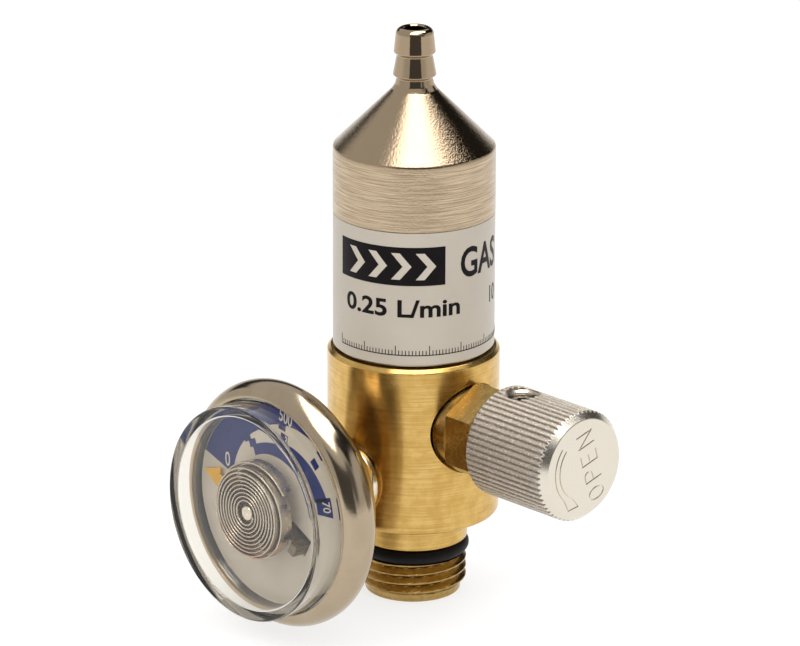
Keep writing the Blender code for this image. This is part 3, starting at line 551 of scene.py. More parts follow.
def turned_metal(name, light, dark, roughness, spread, axis, mark_mm, depth_mm, patch_mm, anisotropic=0.6):
    """Lathe-turned metal: tool marks smear reflections along the axis, over slow patches of tone."""
    material, tree, shader, where = new_finish(name, light, {
        "Roughness": roughness, "Metallic": 1.0, "Anisotropic": anisotropic, "Anisotropic Rotation": 0.25})
    along = add_node(tree, "ShaderNodeMapping", {"Vector": where, "Scale": AXIS_SQUEEZE[axis]})
    marks = add_node(tree, "ShaderNodeTexNoise", {
        "Vector": along, "Scale": 1 / (mark_mm * MM), "Detail": 3.0, "Roughness": 0.65})
    patches = add_node(tree, "ShaderNodeTexNoise", {
        "Vector": where, "Scale": 1 / (patch_mm * MM), "Detail": 4.0, "Roughness": 0.6})
    tone = add_node(tree, "ShaderNodeMath", {0: marks, 1: patches}, operation="MULTIPLY")
    share = add_node(tree, "ShaderNodeMapRange", {"Value": tone, "From Min": 0.16, "From Max": 0.36})
    colour = add_node(tree, "ShaderNodeMix", {
        0: share, 6: linear(dark), 7: linear(light)}, data_type="RGBA")
    sheen = add_node(tree, "ShaderNodeMapRange", {
        "Value": patches, **NOISE_SPAN, "To Min": roughness - spread, "To Max": roughness + spread})
    bump = add_node(tree, "ShaderNodeBump", {"Height": marks, "Strength": 1.0, "Distance": depth_mm * MM})
    ring = add_node(tree, "ShaderNodeTangent", direction_type="RADIAL", axis=axis)
    connect(shader, {"Base Color": colour, "Roughness": sheen, "Normal": bump, "Tangent": ring})
    return material


def satin_nickel():
    """Nickel plate on drawn steel: satin sheen that still shows crisp streaks, faint clouds and tiny pits."""
    material, tree, shader, where = new_finish("satin_nickel_plated_steel", "#C4B297", {
        "Roughness": 0.19, "Metallic": 1.0})
    clouds = add_node(tree, "ShaderNodeTexNoise", {
        "Vector": where, "Scale": 1 / (5.0 * MM), "Detail": 5.0, "Roughness": 0.6})
    grain = add_node(tree, "ShaderNodeTexNoise", {"Vector": where, "Scale": 1 / (0.22 * MM), "Detail": 2.0})
    pits = add_node(tree, "ShaderNodeTexVoronoi", {"Vector": where, "Scale": 1 / (3.2 * MM)})
    pit = add_node(tree, "ShaderNodeMapRange", {"Value": pits, "From Min": 0.04, "From Max": 0.07})
    tone = add_node(tree, "ShaderNodeMapRange", {"Value": clouds, **NOISE_SPAN})
    plate = add_node(tree, "ShaderNodeMix", {
        0: tone, 6: linear("#A9987F"), 7: linear("#B3A38C")}, data_type="RGBA")
    colour = add_node(tree, "ShaderNodeMix", {0: pit, 6: linear("#6B5F4E"), 7: plate}, data_type="RGBA")
    sheen = add_node(tree, "ShaderNodeMapRange", {
        "Value": clouds, **NOISE_SPAN, "To Min": 0.13, "To Max": 0.17})
    bump = add_node(tree, "ShaderNodeBump", {"Height": grain, "Strength": 1.0, "Distance": 0.006 * MM})
    connect(shader, {"Base Color": colour, "Roughness": sheen, "Normal": bump})
    return material


def bright_nickel():
    """Bright nickel plate: mirror-like scratched cone, smooth barbs, turned rings on the cylinder."""
    material, tree, shader, where = new_finish("bright_nickel_plated_brass", "#C2AE8C", {
        "Roughness": 0.1, "Metallic": 1.0})
    height = add_node(tree, "ShaderNodeSeparateXYZ", {"Vector": where})
    cylinder = add_node(tree, "ShaderNodeMapRange", {
        "Value": height.outputs["Z"],
        "From Min": (CONE_BASE_Z - 0.3) * MM, "From Max": (CONE_BASE_Z - 0.7) * MM})
    cone = add_node(tree, "ShaderNodeMapRange", {
        "Value": height.outputs["Z"],
        "From Min": (CONE_TOP_Z + 0.3) * MM, "From Max": (CONE_TOP_Z - 0.3) * MM, "To Min": 0.12})
    along = add_node(tree, "ShaderNodeMapping", {"Vector": where, "Scale": (0.012, 0.012, 1.0)})
    rings = add_node(tree, "ShaderNodeTexNoise", {
        "Vector": along, "Scale": 1 / (0.085 * MM), "Detail": 2.0, "Roughness": 0.8})
    scratches = add_node(tree, "ShaderNodeTexNoise", {
        "Vector": where, "Scale": 1 / (0.32 * MM), "Detail": 3.0, "Roughness": 0.65})
    patches = add_node(tree, "ShaderNodeTexNoise", {"Vector": where, "Scale": 1 / (2.5 * MM), "Detail": 4.0})
    ring_share = add_node(tree, "ShaderNodeMix", {0: cylinder, 2: 0.43, 3: rings}, data_type="FLOAT")
    colour_share = add_node(tree, "ShaderNodeMapRange", {
        "Value": ring_share, "From Min": 0.36, "From Max": 0.64})
    colour = add_node(tree, "ShaderNodeMix", {
        0: colour_share, 6: linear("#99846B"), 7: linear("#CDBB9E")}, data_type="RGBA")
    polish = add_node(tree, "ShaderNodeMapRange", {
        "Value": patches, **NOISE_SPAN, "To Min": 0.03, "To Max": 0.07})
    sheen = add_node(tree, "ShaderNodeMath", {0: cylinder, 1: 0.18, 2: polish}, operation="MULTIPLY_ADD")
    relief = add_node(tree, "ShaderNodeMath", {0: scratches, 1: cone}, operation="MULTIPLY")
    fine = add_node(tree, "ShaderNodeBump", {"Height": relief, "Strength": 1.0, "Distance": 0.045 * MM})
    bump = add_node(tree, "ShaderNodeBump", {
        "Height": ring_share, "Strength": 1.0, "Distance": 0.012 * MM, "Normal": fine})
    connect(shader, {"Base Color": colour, "Roughness": sheen, "Normal": bump})
    return material


def knurled_aluminium():
    """Aluminium: grainy knurl with painted glints and painted shade in its grooves, and a smooth bright
    turned end.
    """
    material, tree, shader, where = new_finish("knurled_aluminium", "#D9D2C8", {
        "Roughness": 0.34, "Metallic": 1.0})
    knurl = add_node(tree, "ShaderNodeAttribute", attribute_name="knurl")
    ridge = add_node(tree, "ShaderNodeAttribute", attribute_name="ridge")
    grain = add_node(tree, "ShaderNodeTexNoise", {
        "Vector": where, "Scale": 1 / (0.26 * MM), "Detail": 4.0, "Roughness": 0.8})
    fine = add_node(tree, "ShaderNodeTexNoise", {"Vector": where, "Scale": 1 / (0.09 * MM), "Detail": 2.0})
    # Painted shade: the knurl's grooves get a darker colour than its crests
    groove = add_node(tree, "ShaderNodeMath", {0: ridge.outputs["Fac"], 1: grain}, operation="MULTIPLY")
    groove_shade_share = add_node(tree, "ShaderNodeMapRange", {
        "Value": groove, "From Min": 0.05, "From Max": 0.5})
    groove_shaded_metal = add_node(tree, "ShaderNodeMix", {
        0: groove_shade_share, 6: linear("#A09487"), 7: linear("#CBC1B4")}, data_type="RGBA")
    # Painted glints: tiny near-white specks in the knurl's colour
    glint_noise = add_node(tree, "ShaderNodeTexNoise", {"Vector": where, "Scale": 1 / (0.19 * MM), "Detail": 1.0})
    painted_glint_share = add_node(tree, "ShaderNodeMapRange", {"Value": glint_noise, "From Min": 0.6, "From Max": 0.68})
    knurl_with_painted_glints = add_node(tree, "ShaderNodeMix", {
        0: painted_glint_share, 6: groove_shaded_metal, 7: linear("#FFFAF0")}, data_type="RGBA")
    colour = add_node(tree, "ShaderNodeMix", {
        0: knurl.outputs["Fac"], 6: linear("#DCD4C6"), 7: knurl_with_painted_glints}, data_type="RGBA")
    rough = add_node(tree, "ShaderNodeMapRange", {
        "Value": grain, **NOISE_SPAN, "To Min": 0.55, "To Max": 0.22})
    smooth = add_node(tree, "ShaderNodeMapRange", {
        "Value": fine, **NOISE_SPAN, "To Min": 0.2, "To Max": 0.3})
    sheen = add_node(tree, "ShaderNodeMix", {
        0: knurl.outputs["Fac"], 2: smooth, 3: rough}, data_type="FLOAT")
    depth = add_node(tree, "ShaderNodeMath", {
        0: knurl.outputs["Fac"], 1: 0.95, 2: 0.05}, operation="MULTIPLY_ADD")
    relief = add_node(tree, "ShaderNodeMath", {0: grain, 1: depth}, operation="MULTIPLY")
    bump = add_node(tree, "ShaderNodeBump", {"Height": relief, "Strength": 1.0, "Distance": 0.16 * MM})
    connect(shader, {"Base Color": colour, "Roughness": sheen, "Normal": bump})
    return material


def clear_acrylic():
    """Moulded acrylic: clear and polished, with a faint ripple from the mould."""
    material, tree, shader, where = new_finish("moulded_clear_acrylic", "#F7F5F0", {
        "Roughness": 0.0, "Transmission Weight": 1.0, "IOR": 1.49, "Specular Tint": (0.4, 0.4, 0.4, 1.0)})
    ripple = add_node(tree, "ShaderNodeTexNoise", {"Vector": where, "Scale": 1 / (6.0 * MM), "Detail": 1.0})
    bump = add_node(tree, "ShaderNodeBump", {"Height": ripple, "Strength": 0.6, "Distance": 0.03 * MM})
    connect(shader, {"Normal": bump})
    return material


def painted(name, light, dark, roughness, patch_mm, grain_mm, depth_mm, specular=0.25):
    """Enamel, ink, film or moulded plastic: two near tones in soft patches over a fine surface grain."""
    material, tree, shader, where = new_finish(name, light, {
        "Roughness": roughness, "Specular IOR Level": specular})
    patches = add_node(tree, "ShaderNodeTexNoise", {
        "Vector": where, "Scale": 1 / (patch_mm * MM), "Detail": 4.0, "Roughness": 0.6})
    share = add_node(tree, "ShaderNodeMapRange", {"Value": patches, **NOISE_SPAN})
    grain = add_node(tree, "ShaderNodeTexNoise", {
        "Vector": where, "Scale": 1 / (grain_mm * MM), "Detail": 2.0})
    colour = add_node(tree, "ShaderNodeMix", {
        0: share, 6: linear(light), 7: linear(dark)}, data_type="RGBA")
    sheen = add_node(tree, "ShaderNodeMapRange", {
        "Value": grain, **NOISE_SPAN, "To Min": roughness * 0.85, "To Max": roughness * 1.15})
    bump = add_node(tree, "ShaderNodeBump", {"Height": grain, "Strength": 1.0, "Distance": depth_mm * MM})
    connect(shader, {"Base Color": colour, "Roughness": sheen, "Normal": bump})
    return material


def spring_bronze():
    """Flattened bronze tube: dull silvery edges that turn coppery towards the tube's lower side."""
    material, tree, shader, where = new_finish("flattened_bronze_tube", "#A89A88", {
        "Roughness": 0.3, "Metallic": 1.0})
    height = add_node(tree, "ShaderNodeSeparateXYZ", {"Vector": where})
    low = add_node(tree, "ShaderNodeMapRange", {
        "Value": height.outputs["Z"], "From Min": (GAUGE_Z - 7.5) * MM, "From Max": (GAUGE_Z - 2.0) * MM,
        "To Min": 1.0, "To Max": 0.0})
    clouds = add_node(tree, "ShaderNodeTexNoise", {"Vector": where, "Scale": 1 / (1.2 * MM), "Detail": 3.0})
    copper = add_node(tree, "ShaderNodeMath", {0: low, 1: clouds}, operation="MULTIPLY")
    colour = add_node(tree, "ShaderNodeMix", {
        0: copper, 6: linear("#D0C4B4"), 7: linear("#C08A66")}, data_type="RGBA")
    sheen = add_node(tree, "ShaderNodeMapRange", {
        "Value": clouds, **NOISE_SPAN, "To Min": 0.22, "To Max": 0.4})
    connect(shader, {"Base Color": colour, "Roughness": sheen})
    return material


def sintered_bronze():
    """Bronze grains sintered together: dull, porous and speckled."""
    material, tree, shader, where = new_finish("sintered_bronze_grains", "#9A7A50", {
        "Roughness": 0.6, "Metallic": 0.8})
    grains = add_node(tree, "ShaderNodeTexVoronoi", {"Vector": where, "Scale": 1 / (0.22 * MM)})
    colour = add_node(tree, "ShaderNodeMix", {
        0: grains, 6: linear("#B08C5C"), 7: linear("#3C2B18")}, data_type="RGBA")
    bump = add_node(tree, "ShaderNodeBump", {"Height": grains, "Strength": 1.0, "Distance": -0.12 * MM})
    connect(shader, {"Base Color": colour, "Normal": bump})
    return material


# Finishes, each with what it gives the eye. Grain and grit are drawn coarser than real, so that they show

# Warm satin gold with fine rings and slow dull patches
BODY_BRASS = turned_metal("turned_brass", "#DAB66F", "#C49D55", 0.25, 0.02, "Z", 0.25, 0.003, 2.2, 0.75)
# Darker gold than the body's, with faint rings
NUT_BRASS = turned_metal("darker_brass_nut", "#C8AD70", "#B29762", 0.26, 0.03, "X", 0.35, 0.002, 1.4)
# Yellow gold with plainer, deeper tool marks
SOCKET_BRASS = turned_metal("machined_brass_fitting", "#C9A55C", "#A5813E", 0.28, 0.04, "Y", 0.3, 0.006, 1.6)
# Darker gold than the body's brass: painted shade for the thread and nose under the body
THREAD_BRASS = turned_metal("cut_brass_thread", "#B99B62", "#A0834C", 0.24, 0.04, "Z", 0.35, 0.005, 1.2)
# Grey-brown brass, darkened as painted shade where the post sits between the tube and the dial
POST_BRASS = turned_metal("shade_darkened_post_brass", "#8A7D68", "#625848", 0.3, 0.04, "Y", 0.3, 0.004, 1.0)
# Clean yellow gold, left as it was cut
INNER_BRASS = turned_metal("machined_brass_inside", "#CDA659", "#A8823E", 0.3, 0.05, "Z", 0.3, 0.006, 2.0)
# Mirror-like cone over a cylinder with fine turned rings
NICKEL = bright_nickel()
# Pale metal, nearly white, with light rings
WASHER_NICKEL = turned_metal("nickel_plated_washer", "#EBE2D2", "#CFC4B0", 0.2, 0.04, "Y", 0.4, 0.005, 1.2)
# Satin plate that still shows crisp streaks
CASE_NICKEL = satin_nickel()
# Pale metal: grainy knurl, smooth end
ALUMINIUM = knurled_aluminium()
# Clear and polished
ACRYLIC = clear_acrylic()
# Grey steel with an oily sheen
SCREW_STEEL = turned_metal("oiled_steel_screw", "#BDB5AA", "#8E877D", 0.26, 0.06, "Z", 0.25, 0.01, 0.8)
# Dull grey drawn wire
SPRING_STEEL = turned_metal("spring_steel", "#A39D95", "#77716A", 0.32, 0.06, "Z", 0.3, 0.006, 1.5)
# Warm white film, faintly clouded, with a soft gloss
LABEL_FILM = painted("satin_polyester_film", "#C4BBAD", "#BDB4A6", 0.32, 9.0, 0.3, 0.002, 0.35)
# Near-black print, flat and dense
LABEL_INK = painted("black_printing_ink", "#0E090C", "#140E10", 0.35, 2.0, 0.15, 0.002, 0.1)
# Bare film, a touch lighter than the rest
LABEL_KNOCKOUT = painted("unprinted_film", "#CBC2B4", "#C2B9AB", 0.32, 4.0, 0.3, 0.002)
# Cream enamel with a low sheen
DIAL_ENAMEL = painted("pale_dial_enamel", "#DFD6C9", "#D5CBBC", 0.38, 6.0, 0.2, 0.002)
# Deep blue ink, matt
DIAL_BLUE = painted("blue_dial_ink", "#10246C", "#162C78", 0.4, 1.5, 0.12, 0.002)
# Warm white ink, matt
DIAL_WHITE = painted("white_dial_ink", "#E4DED2", "#D6D0C4", 0.4, 1.5, 0.12, 0.002)
# Strong yellow enamel
POINTER_YELLOW = painted("yellow_pointer_enamel", "#F2BC30", "#E6AC28", 0.35, 1.5, 0.15, 0.003)
# Silvery edges that turn coppery lower down
TUBE_BRONZE = spring_bronze()
# Black rubber, matt, with a fine bloom
RUBBER = painted("black_nitrile_rubber", "#0A0607", "#100C0D", 0.55, 1.2, 0.12, 0.004, 0.2)
# Off-white nylon, dull from turning
NYLON = painted("turned_white_nylon", "#E2DFD5", "#D5D1C5", 0.45, 1.5, 0.2, 0.004)
# Speckled, porous bronze
BRONZE_GRAINS = sintered_bronze()


# Brass body

def thread_radius(angle, height):
    """Radius of the helical inlet thread at an angle in radians and a height."""
    phase = ((FIRST_CREST_Z - height) / THREAD_PITCH + (angle + FIRST_CREST_TURN) / (2 * math.pi)) % 1.0
    flank = max(0.0, 1.0 - abs(phase - 0.5) * 2 - THREAD_CREST)
    radius = THREAD_R - THREAD_DEPTH * min(1.0, flank * 1.25)
    return min(radius, NOSE_R + max(0.0, height - THREAD_END_Z) * LEAD_IN_SLOPE)


def port_cutter(name, steps, matrix):
    """Stepped bore whose steps are (radius, distance of its floor)."""
    profile = [(0.0, BODY_R + 5.0), (steps[0][0], BODY_R + 5.0)]
    for (radius, floor), following in zip(steps, steps[1:] + [(0.0, 0.0)]):
        profile += [(radius, floor), (following[0], floor)]
    return to_mesh(name, revolve(profile, 96, False), matrix)


def valve_body():
    rows = round((THREAD_TOP_Z - THREAD_END_Z) / THREAD_ROW)
    profile = soften([
        (0.0, SEAT_POCKET_Z),
        (STEM_BORE_R, SEAT_POCKET_Z),
        (STEM_BORE_R, BODY_HIGH.z),
        (SPIGOT_R, BODY_HIGH.z, 0.4),
        (SPIGOT_R, BODY_TOP_Z),
        (BODY_R - TOP_CHAMFER, BODY_TOP_Z, 0.1),
        (BODY_R, BODY_TOP_Z - TOP_CHAMFER, 0.12),
        (BODY_R, BODY_Z, BODY_EDGE_R),
        (COLLAR_R, BODY_Z, 0.12),
        (COLLAR_R, COLLAR_Z, 0.25),
        (SEAL_GROOVE_R, COLLAR_Z),
        (SEAL_GROOVE_R, THREAD_TOP_Z),
    ])
    profile += [(THREAD_R, THREAD_TOP_Z - THREAD_ROW * row) for row in range(rows + 1)]
    profile += soften([
        (NOSE_R, THREAD_END_Z - 0.1),
        (NOSE_R, 0.0, NOSE_EDGE),
        (RECESS_R, 0.0, 0.15),
        (RECESS_R, RECESS_DEPTH),
        (INLET_BORE_R, RECESS_DEPTH),
        (INLET_BORE_R, KNOB_Z),
        (0.0, KNOB_Z + INLET_BORE_R * 0.6),
    ])
    shape = revolve(profile, 192, False)
    for vertex in shape.verts:
        on_thread = THREAD_END_Z - 0.01 < vertex.co.z < THREAD_TOP_Z + 0.01
        if on_thread and vertex.co.xy.length > SEAL_GROOVE_R + 0.1:
            radius = thread_radius(math.atan2(vertex.co.y, vertex.co.x), vertex.co.z)
            vertex.co.xy = vertex.co.xy.normalized() * radius
    mesh = to_mesh("body", shape)
    cutters = [port_cutter("valve_port", VALVE_PORT, VALVE), port_cutter("gauge_port", GAUGE_PORT, GAUGE)]
    mesh = carve(mesh, cutters)
    whole = piece("brass_body", mesh, BODY_BRASS, "body", "body_brass", "valve_body")
    # The thread and nose below its top take the darker thread brass, as painted shade under the body
    whole.data.materials.append(THREAD_BRASS)
    for face in whole.data.polygons:
        if face.center.z < THREAD_TOP_Z * MM:
            face.material_index = 1


def seals_and_filter():
    section = (SEAL_HIGH.z - SEAL_LOW.z) / 2
    middle = (SEAL_HIGH.z + SEAL_LOW.z) / 2
    ring = revolve(arc((SEAL_HIGH.x - section, middle), section, 90, -270, 24)[:-1], 128)
    piece("nitrile_inlet_seal", to_mesh("seal", ring), RUBBER, "body", "seal_rubber", "inlet_o_ring")
    for node, finish, slot in (("inlet_filter", BRONZE_GRAINS, "sintered_bronze"),
                               ("filter_ring", SPRING_STEEL, "spring_steel")):
        NODES[node].data.materials[0] = finish


# Bonnet and label

def bonnet():
    pocket_r, pocket_low, pocket_high = ORIFICE_POCKET
    recess_r = LABEL_HIGH.x - LABEL_T - 0.12
    profile = soften([(OUTLET_R, BARB_TOP_Z - 0.2), (OUTLET_R + 0.2, BARB_TOP_Z)])
    profile += arc((BARB_TIP_R - BARB_ROUND, BARB_TOP_Z - BARB_ROUND), BARB_ROUND, 84, 0, 10)
    profile += soften([
        (BARB_TIP_R + 0.01, BARB_TOP_Z - BARB_ROUND - 0.1),
        (*BARB_UPPER, 0.12),
        (BARB_NECK_R, BARB_UPPER[1] - BARB_STEP, 0.1),
        (*BARB_LOWER, 0.12),
        (BARB_NECK_R, BARB_LOWER[1] - BARB_STEP, 0.1),
        (BARB_NECK_R + NECK_FLARE[0], CONE_TOP_Z + NECK_FLARE[1], 0.15),
        (CONE_TOP_R, CONE_TOP_Z, 0.06),
        (BONNET_R, CONE_BASE_Z, 0.25),
        (BONNET_R, LABEL_HIGH.z + 0.1, 0.08),
        (recess_r, LABEL_HIGH.z + 0.1),
        (recess_r, BONNET_LOW.z),
        (BONNET_BORE_R, BONNET_LOW.z),
        (BONNET_BORE_R, BONNET_BORE_TOP_Z),
        (pocket_r, pocket_low),
        (pocket_r, pocket_high),
        (OUTLET_R, pocket_high),
    ])
    piece("nickel_bonnet", to_mesh("bonnet", revolve(profile, 192)), NICKEL, "body", "nickel_plate", "bonnet")


def bonnet_label():
    start = LABEL_SEAM + (360.0 - LABEL_SWEEP) / 2
    outer = LABEL_HIGH.x - PRINT_T
    profile = soften([
        (outer, LABEL_HIGH.z, 0.05),
        (outer, LABEL_LOW.z, 0.05),
        (outer - LABEL_T + PRINT_T, LABEL_LOW.z),
        (outer - LABEL_T + PRINT_T, LABEL_HIGH.z),
    ], loop=True)
    film = revolve(profile, 192, True, start, LABEL_SWEEP)
    piece("label_sheet", to_mesh("label", film), LABEL_FILM, "body", "label_film", "bonnet_label")


def on_label(shape, angle, height):
    """Bends a flat print round the label, from its left end at an angle and with its foot at a height."""
    outer = LABEL_HIGH.x - PRINT_T
    width = max(vertex.co.x for vertex in shape.verts)
    for cut in range(1, int(width / PRINT_STRIP) + 1):
        parts = list(shape.verts) + list(shape.edges) + list(shape.faces)
        line = (cut * PRINT_STRIP, 0.0, 0.0)
        bmesh.ops.bisect_plane(shape, geom=parts, plane_co=line, plane_no=(1.0, 0.0, 0.0))
    for vertex in shape.verts:
        turn = math.radians(angle) + vertex.co.x / outer
        radius = outer - PRINT_SINK + vertex.co.z
        vertex.co = (radius * math.cos(turn), radius * math.sin(turn), height + vertex.co.y)
    return shape


def lettering(words, size, thickness, weight=0.0, align="LEFT", stretch=1.0):
    """Flat mesh of generic words or numbers in millimetres, standing a thickness off Z = 0."""
    curve = bpy.data.curves.new("words", "FONT")
    curve.body = words
    curve.size = size
    curve.align_x = align
    curve.offset = weight
    curve.extrude = thickness / 2
    curve.resolution_u = 4
    mesh = evaluated(linked("words", curve))
    shape = bmesh.new()
    shape.from_mesh(mesh)
    bmesh.ops.remove_doubles(shape, verts=shape.verts, dist=0.0001)
    bmesh.ops.translate(shape, verts=shape.verts, vec=(0.0, 0.0, thickness / 2))
    bmesh.ops.scale(shape, verts=shape.verts, vec=(stretch, 1.0, 1.0))
    bpy.data.meshes.remove(mesh)
    return shape


def label_print():
    """Generic print: a plain dark field with chevrons, the flow in plain figures, and a fine scale below."""
    thickness = PRINT_T + PRINT_SINK
    inked = [on_label(slab(rectangle(0.0, 0.0, *FIELD_SIZE), 0.0, thickness), *FIELD)]
    for words, angle, foot, size, weight, stretch in LABEL_WORDS:
        inked.append(on_label(lettering(words, size, thickness, weight, stretch=stretch), angle, foot))
    marks = [slab(rectangle(0.0, 0.0, FINE_SCALE_LENGTH, FINE_SCALE_LINE), 0.0, thickness)]
    for index in range(round(FINE_SCALE_LENGTH / FINE_SCALE_STEP) + 1):
        x = index * FINE_SCALE_STEP
        top = LONG_TICK if index % 10 == 0 else SHORT_TICK
        marks.append(slab(rectangle(x, 0.0, x + TICK_WIDTH, top), 0.0, thickness))
    inked.append(on_label(joined(marks), *FINE_SCALE))
    piece("label_ink", to_mesh("ink", joined(inked)), LABEL_INK, "body", "label_film")
    chevrons = []
    for index in range(CHEVRON_COUNT):
        outline = [(x + index * CHEVRON_STEP, y) for x, y in CHEVRON]
        chevrons.append(slab(outline, 0.0, thickness + CHEVRON_RISE))
    light = on_label(joined(chevrons), *FIELD)
    piece("label_chevrons", to_mesh("chevrons", light), LABEL_KNOCKOUT, "body", "label_film")


# Valve

def packing_nut():
    corner = NUT_FLATS / math.sqrt(3)
    profile = soften([
        (STEM_R + STEM_GAP, NUT_END_X, 0.15),
        (corner - NUT_CHAMFER[0], NUT_END_X, 0.1),
        (corner, NUT_END_X - NUT_CHAMFER[1], 0.1),
        (corner, NUT_COLLAR_END_X + 0.2, 0.1),
        (NUT_COLLAR_R, NUT_COLLAR_END_X, 0.1),
        (NUT_COLLAR_R, NUT_COLLAR_START_X, 0.15),
        (NUT_THREAD_R, NUT_COLLAR_START_X),
        (NUT_THREAD_R, NUT_LOW.x),
        (STEM_R + STEM_GAP, NUT_LOW.x),
    ], loop=True)
    round_nut = to_mesh("nut", revolve(profile, 128), VALVE)
    waste = hex_waste("nut_waste", NUT_FLATS, NUT_COLLAR_END_X + 0.05, NUT_END_X + 1.0, 0.0, VALVE)
    mesh = edge_rounded(carve(round_nut, [waste]), 0.1)
    piece("hexagon_packing_nut", mesh, NUT_BRASS, "body", "nut_brass", "packing_nut", sharp=15.0)


def geometry_tree(name, sockets):
    """Empty geometry tree with named inputs, each (label, socket type, default)."""
    tree = bpy.data.node_groups.new(name, "GeometryNodeTree")
    tree.interface.new_socket("Geometry", in_out="INPUT", socket_type="NodeSocketGeometry")
    for label, kind, value in sockets:
        socket = tree.interface.new_socket(label, in_out="INPUT", socket_type=kind)
        if value is not None:
            socket.default_value = value
    tree.interface.new_socket("Geometry", in_out="OUTPUT", socket_type="NodeSocketGeometry")
    return tree, add_node(tree, "NodeGroupInput").outputs


def finish_tree(tree, geometry, material):
    """Ends a tree in plain geometry with its material."""
    real = add_node(tree, "GeometryNodeRealizeInstances", {"Geometry": geometry})
    painted_geometry = add_node(tree, "GeometryNodeSetMaterial", {"Geometry": real, "Material": material})
    add_node(tree, "NodeGroupOutput", {0: painted_geometry})


def grown(tree, values, mesh=None):
    """Plain mesh that a geometry tree makes from its named inputs."""
    obj = linked(tree.name, mesh or bpy.data.meshes.new(tree.name))
    modifier = obj.modifiers.new(tree.name, "NODES")
    modifier.node_group = tree
    for item in tree.interface.items_tree:
        if item.item_type == "SOCKET" and item.in_out == "INPUT" and item.name in values:
            modifier[item.identifier] = values[item.name]
    return evaluated(obj)


def knurl_tree():
    """Rolls straight teeth into a turned blank about local Z, and marks where they are."""
    tree, given = geometry_tree("straight_knurl", [
        ("Teeth", "NodeSocketInt", 40),
        ("Radius", "NodeSocketFloat", 1.0),
        ("Depth", "NodeSocketFloat", 0.1),
        ("Finish", "NodeSocketMaterial", None),
    ])
    place = add_node(tree, "GeometryNodeInputPosition")
    parts = add_node(tree, "ShaderNodeSeparateXYZ", {0: place})
    sideways, upward = parts.outputs["X"], parts.outputs["Y"]
    angle = add_node(tree, "ShaderNodeMath", {0: upward, 1: sideways}, operation="ARCTAN2")
    turns = add_node(tree, "ShaderNodeMath", {0: angle, 1: 2 * math.pi}, operation="DIVIDE")
    teeth = add_node(tree, "ShaderNodeMath", {0: turns, 1: given["Teeth"]}, operation="MULTIPLY")
    phase = add_node(tree, "ShaderNodeMath", {0: teeth}, operation="FRACT")
    centred = add_node(tree, "ShaderNodeMath", {0: phase, 1: 0.5}, operation="SUBTRACT")
    apart = add_node(tree, "ShaderNodeMath", {0: centred}, operation="ABSOLUTE")
    ridge = add_node(tree, "ShaderNodeMapRange", {
        "Value": apart, "From Min": 0.06, "From Max": 0.3}, interpolation_type="SMOOTHSTEP")
    valley = add_node(tree, "ShaderNodeMath", {0: 1.0, 1: ridge}, operation="SUBTRACT")
    cut = add_node(tree, "ShaderNodeMath", {0: valley, 1: given["Depth"]}, operation="MULTIPLY")
    limit = add_node(tree, "ShaderNodeMath", {0: given["Radius"], 1: cut}, operation="SUBTRACT")
    flat = add_node(tree, "ShaderNodeCombineXYZ", {0: sideways, 1: upward})
    radius = add_node(tree, "ShaderNodeVectorMath", {0: flat}, operation="LENGTH")
    reach = add_node(tree, "ShaderNodeMath", {0: radius, 1: 1e-6}, operation="MAXIMUM")
    kept = add_node(tree, "ShaderNodeMath", {0: reach, 1: limit}, operation="MINIMUM")
    share = add_node(tree, "ShaderNodeMath", {0: kept, 1: reach}, operation="DIVIDE")
    shrink = add_node(tree, "ShaderNodeMath", {0: share, 1: 1.0}, operation="SUBTRACT")
    offset = add_node(tree, "ShaderNodeVectorMath", {0: flat, "Scale": shrink}, operation="SCALE")
    over = add_node(tree, "ShaderNodeMath", {0: reach, 1: limit}, operation="SUBTRACT")
    knurled = add_node(tree, "ShaderNodeMapRange", {"Value": over, "From Min": -0.02 * MM, "From Max": 0.0})
    marked = add_node(tree, "GeometryNodeStoreNamedAttribute", {
        "Geometry": given["Geometry"], "Name": "knurl", "Value": knurled},
        data_type="FLOAT", domain="POINT")
    ridged = add_node(tree, "GeometryNodeStoreNamedAttribute", {
        "Geometry": marked, "Name": "ridge", "Value": ridge},
        data_type="FLOAT", domain="POINT")
    moved = add_node(tree, "GeometryNodeSetPosition", {"Geometry": ridged, "Offset": offset})
    finish_tree(tree, moved, given["Finish"])
    return tree


def knob_blank():
    """Turned blank of the knob about local Z, bored for the stem."""
    back = KNOB_LOW.x
    front = KNOB_HIGH.x
    back_round = KNOB_BACK_ROUND
    straight_end = front - KNOB_CHAMFER
    widening = KNOB_R - KNOB_FACE_R
    profile = soften([
        (0.0, front), (KNOB_FACE_R, front, 0.12), (KNOB_FACE_R + widening * 0.2, front - KNOB_CHAMFER * 0.2)])
    for step in range(6, 31):
        profile.append((KNOB_FACE_R + widening * step / 30, front - KNOB_CHAMFER * step / 30))
    steps = 18
    length = straight_end - back - back_round
    profile += [(KNOB_R, straight_end - length * step / steps) for step in range(1, steps + 1)]
    profile += arc((KNOB_R - back_round, back + back_round), back_round, -8, -90, 10)
    bore = STEM_R + STEM_GAP
    profile += [(bore, back), (bore, STEM_HIGH.x + 0.3), (0.0, STEM_HIGH.x + 0.3)]
    return revolve(profile, KNURL_COUNT * 10, False)


def stroke(points):
    """Cutters along a line of strokes on the knob's face, with round ends."""
    cutters = []
    for first, last in zip(points, points[1:]):
        start, end = Vector(first), Vector(last)
        along = (end - start).normalized()
        reach = STROKE / 2
        side = Vector((-along.y, along.x)) * STROKE / 2
        turn = math.atan2(side.y, side.x)
        outline = []
        for centre, first_turn in ((start, turn), (end, turn + math.pi)):
            for index in range(7):
                angle = first_turn + math.pi * index / 6
                outline.append((centre.x + reach * math.cos(angle), centre.y + reach * math.sin(angle)))
        cutters.append(outline)
    return cutters


